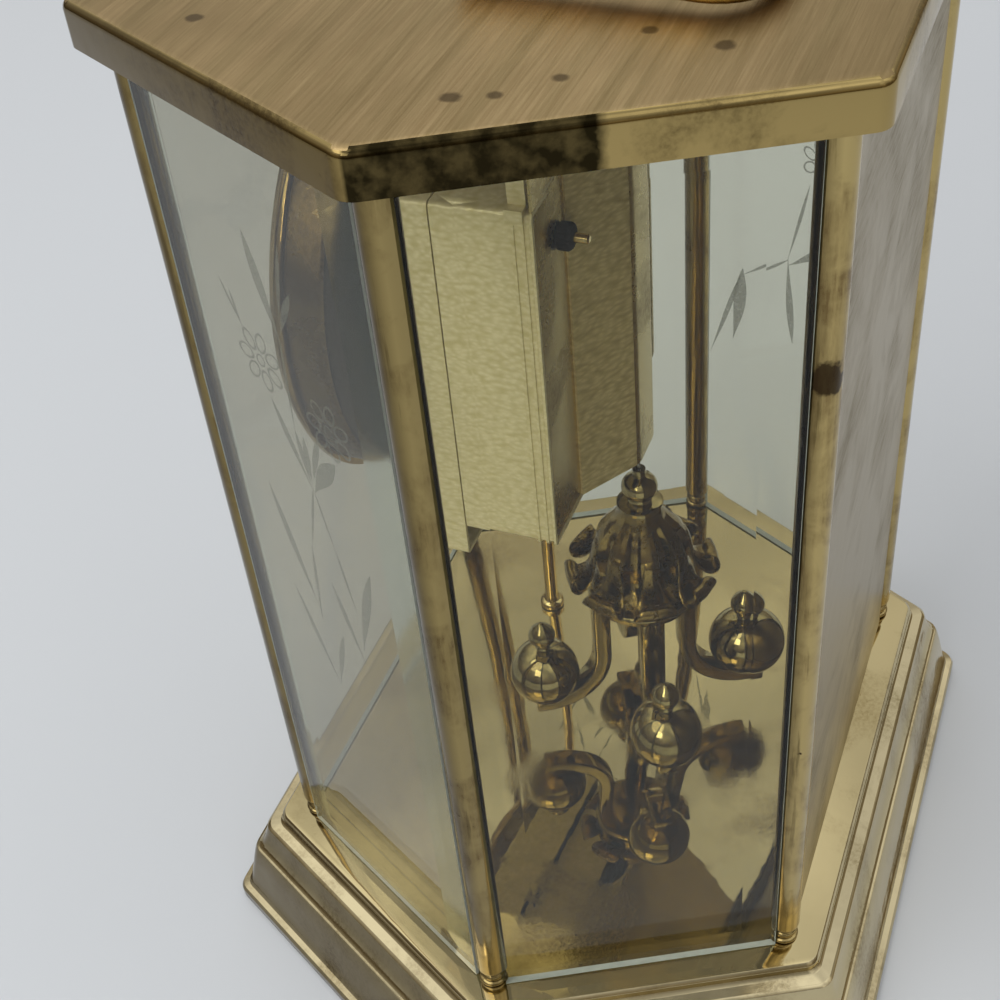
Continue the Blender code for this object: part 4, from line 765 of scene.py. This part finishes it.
for side, name in ((-1, "left"), (1, "right")):
    clear()
    bpy.ops.mesh.primitive_plane_add(size=1, location=(0, 0, 0))
    moved(bpy.context.object, (side * lip_place[0], *lip_place[1:]), (90, 0, 0),
          (lip_size[0] * MM, lip_size[1] * MM, 1))
    lip = opened()
    pick("VERT", lambda part: part.co.z > lip_place[2] * MM)
    bpy.ops.mesh.bevel(offset=lip_corner * MM, segments=4, affect="VERTICES")
    modify(lip, "SOLIDIFY", thickness=lip_wall * MM, offset=0)
    finished(lip, "movement_tray_lip_" + name, sheet_finish, "case")

guard = traced(guard_plan)
drawn_out(0, -guard_tall, 0)
closed_up()
moved(guard, (0, 0, guard_low), (-90, 0, 0))
eased(guard, 1.2, 4, 20)
walled(guard, 0.9, 0)
finished(guard, "pendulum_wire_guard", guard_finish, "case")
faced(guard, sheet_finish, lambda face: abs(face.normal.y) > 0.9)


# Columns, clips and the setting knob: turned brass columns with a collar, sprung brass clips that
# hold the rear tray, and a black moulded knob on a steel arbor.
column_side = 29.5
column_depth = -25.3
column_profile = [
    (0, 27.5), (3.0, 27.5), (3.0, 28.6), (2.7, 29.0), (2.0, 29.3), (1.8, 29.9), (1.6, 30.6), (1.6, 104.0),
    (0, 104.0),
]
setting_profile = [(0, 0), (2.6, 0), (2.6, 1.8), (2.2, 2.4), (0.9, 2.6), (0.9, 5.1), (0.6, 5.4), (0, 5.4)]
setting_place = (20.5, 3.05, 174.4)
grip_teeth = 20

# Small turned parts: bright where they rub, brown in their necks.
plain_finish = tarnished_brass("small_turned_brass", "#c4ab70", "#7d6637", "#33240f", patch=10, amount=0.4,
                               smooth=0.14, rough=0.34, spots=0.2)
# Polished rod: the brightest brass inside, with a yellow shine.
column_finish = tarnished_brass("column_bright_brass", "#ecd596", "#b3985a", "#4c3a1c", patch=14, amount=0.3,
                                smooth=0.10, rough=0.26, spots=0.1)
# Zinc-plated steel: pale grey, cloudy and fairly glossy.
steel_finish = grained("bright_zinc_steel", "#aeaca6", "#cfcdc8", 1.43, 4, 0.1, 0.1,
                       {"Roughness": (0.2, 0.42), "Metallic": 1})
# Moulded plastic: black with a fine spark texture that takes the shine off.
plastic_finish = grained("black_moulded_plastic", "#0e0d0b", "#1c1a16", 0.455, 4, 0.25, 0.1,
                         {"Roughness": (0.6, 0.8), "Specular IOR Level": 0.12})
# Printed sleeve of the cell: brick red, smooth and a little rubbed.
sleeve_finish = grained("printed_cell_sleeve", "#8a3a1e", "#b4572f", 2.5, 5, 0.15, 0.1, {"Roughness": 0.3})

for side, name in ((-1, "column_left"), (1, "column_right")):
    piece = turned(column_profile, 32, (side * column_side, column_depth, 0))
    finished(piece, "turned_" + name, column_finish, "case", [name], 40)

turned(setting_profile, 40, (0, 0, 0))
setting = opened()
for tooth in range(grip_teeth):
    angle = math.tau * tooth / grip_teeth
    pick("VERT", lambda part: part.co.xy.length > 2.15 * MM
         and abs(math.remainder(math.atan2(part.co.y, part.co.x) - angle, math.tau)) < 0.02)
    bpy.ops.transform.resize(value=(0.93, 0.93, 1), center_override=(0, 0, 0))
moved(setting, setting_place, (-90, 0, 0))
finished(setting, "knurled_setting_knob", plastic_finish, "knob", ["setting_knob"], 30)
faced(setting, column_finish, lambda face: face.center.y > 5.7 * MM)
given(plastic_finish, "quartz_movement")
given(sleeve_finish, "battery")
given(grained_finish, "cover_clip_left", "cover_clip_right")
given(sheet_finish, "suspension_bracket")
for name in nodes:
    if name.startswith(("frame_screw", "door_pin", "handle_nut", "column_nut", "minute_shaft")):
        given(steel_finish, name)


# Dial: a shallow drum of spun brass, browned outside and dark behind. The silvered dial lies in it,
# printed with plain numerals and a minute track, and a polished bezel pressed over the edge holds
# it. Black hands turn on it, under a domed nut.
dial_high = 157.8
drum_place = -30.3
dial_place = -36.0
print_place = -36.82
bezel_place = -37.85
nut_place = -41.8
facing_front = (90, 0, 0)
drum_profile = [
    (4.3, 0), (44.8, 0), (45.5, 0.15), (45.85, 0.45), (46, 0.9), (46, 7.2), (44.8, 7.2), (44.8, 6.0),
    (42.8, 6.0), (42.8, 5.4), (44.8, 5.4), (44.8, 0.9), (4.3, 0.9), (4.3, 0),
]
bezel_profile = [
    (44.5, 0), (47.25, 0), (47.3, 0.3), (47.2, 1.1), (46.9, 1.6), (46.3, 2.0), (46.1, 2.5), (45.6, 2.95),
    (45.1, 3.1), (44.6, 3.0), (44.2, 2.6), (43.9, 2.0), (43.3, 1.5), (42.8, 0.9), (42.8, -0.3), (44.5, -0.3),
    (44.5, 0),
]
dial_profile = [(4.3, 0), (44.5, 0), (44.5, 0.8), (4.3, 0.8), (4.3, 0)]
nut_profile = [(0, 0), (1.9, 0), (1.9, 0.7), (1.7, 1.1), (1.2, 1.5), (0, 1.6)]
numeral_size = 8.2
numeral_ring = 31.5
track_rings = (37.4, 40.6)
tick_ring = 39.1
tick_long = 3.2
line_wide = 0.22
ink_thick = 0.03

# Spun brass that has browned all over, with dark stains.
drum_finish = tarnished_brass("drum_browned_brass", "#85744a", "#5a4b2f", "#2a2114", patch=16, amount=0.7,
                              smooth=0.20, rough=0.40, spots=0.5, ripple=0.2)
# The same sheet behind, nearly black and dull.
drum_back_finish = tarnished_brass("drum_dark_back", "#2b2d23", "#1d1f17", "#141510", patch=20, amount=0.6,
                                   smooth=0.30, rough=0.46, spots=0.2, ripple=0.2)
# Polished brass: a bright warm ring with sharp reflections.
bezel_finish = tarnished_brass("bezel_polished_brass", "#cdb273", "#86703f", "#2f2413", patch=20, amount=0.3,
                               smooth=0.07, rough=0.28, spots=0.2)
drum = turned(drum_profile, 96, (0, drum_place, dial_high), facing_front)
finished(drum, "spun_dial_drum", drum_finish, "case", ["dial_drum"])
faced(drum, drum_back_finish, lambda face: face.normal.y > 0.9)
bezel = turned(bezel_profile, 120, (0, bezel_place, dial_high), facing_front)
finished(bezel, "spun_bezel", bezel_finish, "case", ["dial_bezel"], 40)

# Silvered paint: warm white, slightly cloudy, with a fine grain that spreads its shine.
dial_finish, tree, shader, place = blank("silvered_dial_paint")
cloud = add(tree, "TexNoise", {"Vector": place, "Scale": 1000 / 18, "Detail": 6})
grain = add(tree, "TexNoise", {"Vector": place, "Scale": 1000 / 0.625, "Detail": 4})
feed(shader, {
    "Base Color": add(tree, "Mix", {"Factor": cloud, "A": "#d9d2bd", "B": "#ece7d8"}),
    "Roughness": add(tree, "MapRange", {"Value": grain, "To Min": 0.38, "To Max": 0.56}),
    "Normal": add(tree, "Bump", {"Height": grain, "Strength": 0.12, "Distance": 0.1 * MM}),
})
dial = turned(dial_profile, 96, (0, dial_place, dial_high), facing_front)
finished(dial, "printed_dial", dial_finish, "case", ["dial_plate"])

# Printing ink: black, half matt and a little uneven.
ink_finish = grained("black_printing_ink", "#100f0e", "#24221f", 1.11, 4, 0.1, 0.1, {"Roughness": 0.5})
marks = []
for number in range(1, 13):
    turn = math.radians(90 - 30 * number)
    clear()
    bpy.ops.object.text_add(location=(0, 0, 0))
    word = bpy.context.object.data
    word.body = str(number)
    word.size = numeral_size * MM
    word.align_x = "CENTER"
    word.align_y = "CENTER"
    word.extrude = 0.02 * MM
    bpy.ops.object.convert(target="MESH")
    marks.append(bpy.context.object)
    moved(marks[-1], (numeral_ring * math.cos(turn), numeral_ring * math.sin(turn), 0))
for ring in track_rings:
    outer = ring + line_wide
    line = [(ring, 0), (outer, 0), (outer, ink_thick), (ring, ink_thick), (ring, 0)]
    marks.append(turned(line, 96, (0, 0, 0)))
for minute in range(60):
    turn = math.radians(6 * minute)
    clear()
    bpy.ops.mesh.primitive_plane_add(size=1, location=(0, 0, 0))
    marks.append(bpy.context.object)
    broad = 0.9 if minute % 5 == 0 else 0.3
    moved(marks[-1], (tick_ring * math.cos(turn), tick_ring * math.sin(turn), ink_thick), (0, 0, 6 * minute),
          (tick_long * MM, broad * MM, 1))
print_layer = joined(marks)
moved(print_layer, (0, print_place, dial_high), facing_front)
finished(print_layer, "dial_printing", ink_finish, "case")

# Baked lacquer on the pressed hands: black, smooth and glossy in places.
hand_finish = grained("black_hand_lacquer", "#0f0f10", "#1f1e1d", 2, 4, 0.1, 0.1, {"Roughness": (0.22, 0.4)})
given(hand_finish, "hour_hand", "minute_hand")
given(plain_finish, "dial_nut")
cap = turned(nut_profile, 32, (0, nut_place, dial_high), facing_front)
finished(cap, "domed_hand_nut", plain_finish, "minute", ["hand_nut"], 40)


# Handle: a round brass bail, thicker at the grip, that swings on pins in two turned pillars and lies
# on the lid. It is bent from rod, and its lacquer is worn off at the corners.
pillar_side = 31.2
pillar_profile = [
    (0, 0.3), (5.2, 0.3), (5.2, 0.8), (5.0, 1.2), (4.2, 1.5), (3.0, 1.8), (2.6, 2.2), (2.6, 2.5), (3.0, 2.8),
    (3.4, 3.2), (3.4, 8.0), (3.3, 8.6), (2.9, 9.3), (2.2, 9.8), (1.2, 10.05), (0, 10.1),
]
pivot = 37.4
pivot_high = 231.2
grip_side = 40.2
bend_start = 33.5
bend_radius = 8.5
bend_steps = 8
rod_radius = 2.5
grip_swell = 0.24
grip_half = 31.7
resting_lean = -2.2
pin_profile = [(0, -3.9), (1.3, -3.9), (1.3, 0), (0, 0)]

# Polished brass, handled a lot: bright and sharp, with brown left only in patches.
handle_finish = tarnished_brass("handle_polished_brass", "#c9ae70", "#7d6737", "#2f2413", patch=14, amount=0.45,
                                smooth=0.08, rough=0.32, spots=0.3, ripple=0.15)
for side, name in ((-1, "handle_pillar_left"), (1, "handle_pillar_right")):
    piece = turned(pillar_profile, 40, (side * pillar_side, 0, lid_top))
    finished(piece, "turned_" + name, handle_finish, "case", [name], 40)

half_path = [(-pivot, -2.5), (-pivot, 0), (-pivot - 0.5, 8), (-pivot - 1.4, 17), (-grip_side + 0.5, 26),
             (-grip_side, bend_start)]
for step in range(1, bend_steps + 1):
    turn = math.radians(180 - 90 * step / bend_steps)
    half_path.append((-grip_side + bend_radius + bend_radius * math.cos(turn),
                      bend_start + bend_radius * math.sin(turn)))
half_path += [(x, bend_start + bend_radius) for x in (-24, -16, -8, 0)]
bail = traced(half_path + [(-x, y) for x, y in reversed(half_path[:-1])])
bpy.ops.object.mode_set(mode="OBJECT")
bpy.ops.object.convert(target="CURVE")
bail.data.bevel_depth = rod_radius * MM
bail.data.bevel_resolution = 6
bail.data.use_fill_caps = True
for point in bail.data.splines[0].points:
    towards_middle = 1 - min(1, abs(point.co.x) / (grip_half * MM))
    point.radius = 1 + grip_swell * min(1, 2 * towards_middle)
only(bail)
bpy.ops.object.convert(target="MESH")
bail = bpy.context.object
moved(bail, turn=(-90, 0, 0))
moved(bail, (0, 0, pivot_high), (resting_lean, 0, 0))
pin_left = turned(pin_profile, 24, (-pivot, 0, pivot_high), (0, 90, 0))
pin_right = turned(pin_profile, 24, (pivot, 0, pivot_high), (0, 90, 0))
moved(pin_left, (-2 * pivot, 0, 0), size=(-1, 1, 1))
opened()
closed_up()
finished(joined([bail, pin_left, pin_right]), "round_bail", handle_finish, "handle",
         ["handle_bail"], 50)


# Pendulum: four solid balls on flat cast arms, below a cast crown of leaves. All of it is brass that
# has darkened under the glass, and the spindle hangs from a flat steel wire behind the movement.
pendulum_back = 9.2
ball_turn = 29
ball_reach = 23.4
ball_radius = 8
ball_high = 49
ball_steps = 24
stub = 0.9
arm_top = 9.8
arm_low = 39.4
arm_wide = 5.2
arm_thick = 3.8
bend_across = 13.6
bend_up = 13.65
arm_steps = 12
ball_profile = [(0, 36.3), (stub, 36.3), (stub, ball_high - ball_radius * math.cos(math.radians(7)))]
for step in range(1, ball_steps + 1):
    turn = math.radians(9 + 162 * step / ball_steps)
    ball_profile.append((ball_radius * math.sin(turn), ball_high - ball_radius * math.cos(turn)))
ball_profile += [
    (1.7, 57.2), (1.5, 57.8), (1.5, 58.4), (2.2, 59.0), (2.8, 59.7), (3.1, 60.6), (3.0, 61.6), (2.5, 62.6),
    (1.7, 63.5), (0.9, 64.3), (0.5, 64.7), (0, 64.8),
]
arm_path = [(arm_top, 71.9), (arm_top, 62)]
for step in range(arm_steps + 1):
    turn = math.radians(90 * step / arm_steps)
    arm_path.append((arm_top + bend_across * (1 - math.cos(turn)), arm_low + bend_up * (1 - math.sin(turn))))
arm_path.append((26.1, arm_low))
hub_profile = [
    (1.7, 70.6), (11.6, 70.6), (12.0, 70.8), (12.2, 71.2), (12.2, 72.6), (12.0, 73.0), (11.6, 73.2),
    (1.7, 73.2), (1.7, 70.6),
]

# Polished brass that has darkened: still a clear mirror, but deep and olive.
dark_finish = tarnished_brass("pendulum_darkened_brass", "#b3a26e", "#857649", "#1f180c", patch=12, amount=0.4,
                              smooth=0.035, rough=0.14, spots=0, ripple=0.05)
arms = []
for quarter in range(4):
    turn = math.radians(ball_turn + 90 * quarter)
    spot = (ball_reach * math.cos(turn), pendulum_back + ball_reach * math.sin(turn), 0)
    ball = turned(ball_profile, 56, spot)
    finished(ball, f"finial_ball_{quarter + 1}", dark_finish, "pendulum",
             [f"pendulum_ball_{quarter + 1}"], 40)
    arm = traced(arm_path, -arm_wide / 2)
    drawn_out(0, arm_wide, 0)
    closed_up()
    walled(arm, arm_thick, 0)
    eased(arm, 0.6, 3, 50)
    moved(arm, (0, pendulum_back, 0), (0, 0, ball_turn + 90 * quarter))
    arms.append(arm)
arms.append(turned(hub_profile, 64, (0, pendulum_back, 0)))
finished(joined(arms), "cast_arms_and_hub", dark_finish, "pendulum", ["pendulum_arms"], 40)


# Crown: cast in one piece, a fluted bell with eight leaves that run down it and curl out at the foot.
# Each leaf is given by the line of its back, and by its width at each point as a share of 5.2 mm.
core_profile = [
    (0, 73.5), (10.4, 73.5), (11.4, 74.4), (11.6, 75.8), (10.8, 77.4), (9.8, 79.0), (10.2, 81.5),
    (10.4, 84.0), (10.2, 86.0), (9.4, 88.4), (8.0, 90.4), (6.6, 92.0), (5.4, 93.6), (4.8, 94.8), (4.6, 96.0),
    (0, 96.0),
]
leaf_path = [
    (9.4, 88.0), (10.6, 84.5), (10.8, 81.0), (11.6, 78.4), (13.4, 76.8), (15.2, 76.6), (16.4, 77.6),
    (16.5, 79.2), (15.4, 80.2), (14.2, 79.6), (14.0, 78.6),
]
leaf_widths = (0.5, 0.7, 0.9, 1.3, 1.8, 2.0, 1.9, 1.6, 1.3, 1.0, 0.7)
leaf_half = 2.6
leaf_strips = 4
leaves = 8

# Cast brass: rougher than the rest, brown in its hollows and dull gold on its ridges.
cast_finish = tarnished_brass("crown_cast_brass", "#a68d50", "#5f4d28", "#1a140a", patch=5, amount=0.6,
                              smooth=0.10, rough=0.34, spots=0.4, ripple=0.3)
turned(core_profile, 64, (0, 0, 0))
core = opened()
pick("VERT", lambda part: 76 * MM < part.co.z < 93 * MM
     and math.cos(leaves * math.atan2(part.co.y, part.co.x)) < -0.35)
bpy.ops.transform.resize(value=(0.80, 0.80, 1), center_override=(0, 0, 0))
castings = [core]
near_by = 0.02 * MM
for number in range(leaves):
    leaf = traced(leaf_path, -leaf_half)
    for strip in range(leaf_strips):
        drawn_out(0, 2 * leaf_half / leaf_strips, 0)
    closed_up()
    opened()
    for (x, z), broad in zip(leaf_path, leaf_widths):
        here = (x * MM, 0, z * MM)
        pick("VERT", lambda part: abs(part.co.x - here[0]) < near_by and abs(part.co.z - here[2]) < near_by)
        bpy.ops.transform.resize(value=(1, broad, 1), center_override=here)
        pick("VERT", lambda part: abs(part.co.x - here[0]) < near_by and abs(part.co.z - here[2]) < near_by
             and abs(part.co.y) < 0.1 * MM)
        bpy.ops.transform.translate(value=(0.35 * MM, 0, -0.3 * MM))
    modify(leaf, "SOLIDIFY", thickness=0.8 * MM, offset=0)
    modify(leaf, "SUBSURF", levels=1)
    moved(leaf, turn=(0, 0, 360 * number / leaves))
    castings.append(leaf)
crown = joined(castings)
moved(crown, (0, pendulum_back, 0), (0, 0, ball_turn))
finished(crown, "cast_leaf_crown", cast_finish, "pendulum", ["pendulum_crown"], 50)


# Knob, spindle and wire: the turned knob clamps the lower end of the wire, the spindle runs down
# through crown and hub to a drop, and the wire hangs from the bar at the top of the movement case.
knob_profile = [
    (0, 96.3), (5.0, 96.3), (5.0, 97.1), (4.6, 97.4), (2.6, 97.8), (2.3, 98.4), (2.4, 99.1), (3.2, 99.6),
    (3.8, 100.3), (3.9, 101.2), (3.7, 102.4), (3.0, 103.4), (1.8, 104.0), (1.4, 104.3), (1.4, 106.1),
    (0, 106.1),
]
spindle_profile = [
    (0, 40.2), (0.9, 40.5), (2.0, 41.4), (2.6, 43.2), (2.3, 45.0), (1.6, 46.4), (1.4, 47.4), (1.4, 98.0),
    (0, 98.0),
]
wire_profile = [(0, 106.4), (0.35, 106.4), (0.35, 187.3), (1.4, 187.4), (1.4, 188.9), (0, 188.9)]
for name, profile, sides, finish, body, slot, replaced in (
    ("turned_top_knob", knob_profile, 48, dark_finish, "pendulum", "knob_brass", "pendulum_knob"),
    ("turned_spindle", spindle_profile, 40, dark_finish, "pendulum", "rod_brass", "pendulum_rod"),
    ("torsion_wire", wire_profile, 20, steel_finish, "case", "wire_steel", "suspension_wire"),
):
    piece = turned(profile, sides, (0, pendulum_back, 0))
    finished(piece, name, finish, body, [replaced], 40)


# Floor, light tent, lamps and camera: pale paper lies under the clock, in a tent that is dark and
# warm near the ground and white above, which gives the brass its brown and its bright stretches. A
# large lamp and a small one add soft highlights, and the camera looks down from the rear right.
clear()
bpy.ops.mesh.primitive_plane_add(size=6, location=(0, 0, 0))
floor = bpy.context.object
floor.name = "floor"
floor_finish, tree, shader, place = blank("pale_paper_floor")
feed(shader, {"Base Color": "#cfd2d5", "Roughness": 0.6})
floor.data.materials.append(floor_finish)

world = bpy.data.worlds.new("light_tent")
bpy.context.scene.world = world
world.use_nodes = True
tree = world.node_tree
tree.nodes.clear()
way = add(tree, "TexCoord").outputs["Generated"]
parts = add(tree, "SeparateXYZ", {"Vector": way})
climb = add(tree, "MapRange", {"Value": parts.outputs["Z"], "From Min": 0, "From Max": 0.85, "To Min": 0,
                               "To Max": 1}, interpolation_type="SMOOTHSTEP")
banks = add(tree, "TexNoise", {"Vector": way, "Scale": 2.2, "Detail": 2})
uneven = add(tree, "MapRange", {"Value": banks, "From Min": 0.38, "From Max": 0.62, "To Min": 0.55,
                                "To Max": 1.25})
sky = add(tree, "Mix", {"Factor": climb, "A": "#7f7259", "B": "#fafcff"})
tent = add(tree, "Background", {"Color": sky, "Strength": uneven})
paper = add(tree, "Background", {"Color": "#d3d5d8", "Strength": 1})
rays = add(tree, "LightPath")
seen = add(tree, "MixShader", {0: rays.outputs["Is Camera Ray"], 1: tent, 2: paper})
add(tree, "OutputWorld", {"Surface": seen})

lamps = [((0.8, -0.5, 1.4), "DISK", 1.2, 7.5), ((1.15, -0.15, 0.85), "SQUARE", 0.45, 3)]
for spot, shape, size, watts in lamps:
    bpy.ops.object.light_add(type="AREA", location=spot)
    lamp = bpy.context.object
    lamp.data.shape = shape
    lamp.data.size = size
    lamp.data.energy = watts
    lamp.rotation_euler = (Vector((0, 0, 0.1)) - lamp.location).to_track_quat("-Z", "Y").to_euler()

bpy.ops.object.camera_add(location=(0.236934, 0.087808, 0.319936))
camera = bpy.context.object
camera.rotation_euler = (math.radians(48.37925), math.radians(4.95331), math.radians(111.41131))
camera.data.sensor_width = 36
camera.data.lens = 56.381
camera.data.shift_x = 0.01393
camera.data.shift_y = -0.00057
camera.data.clip_start = 0.01
camera.data.clip_end = 50
bpy.context.scene.camera = camera
bpy.context.scene.view_settings.view_transform = "Standard"
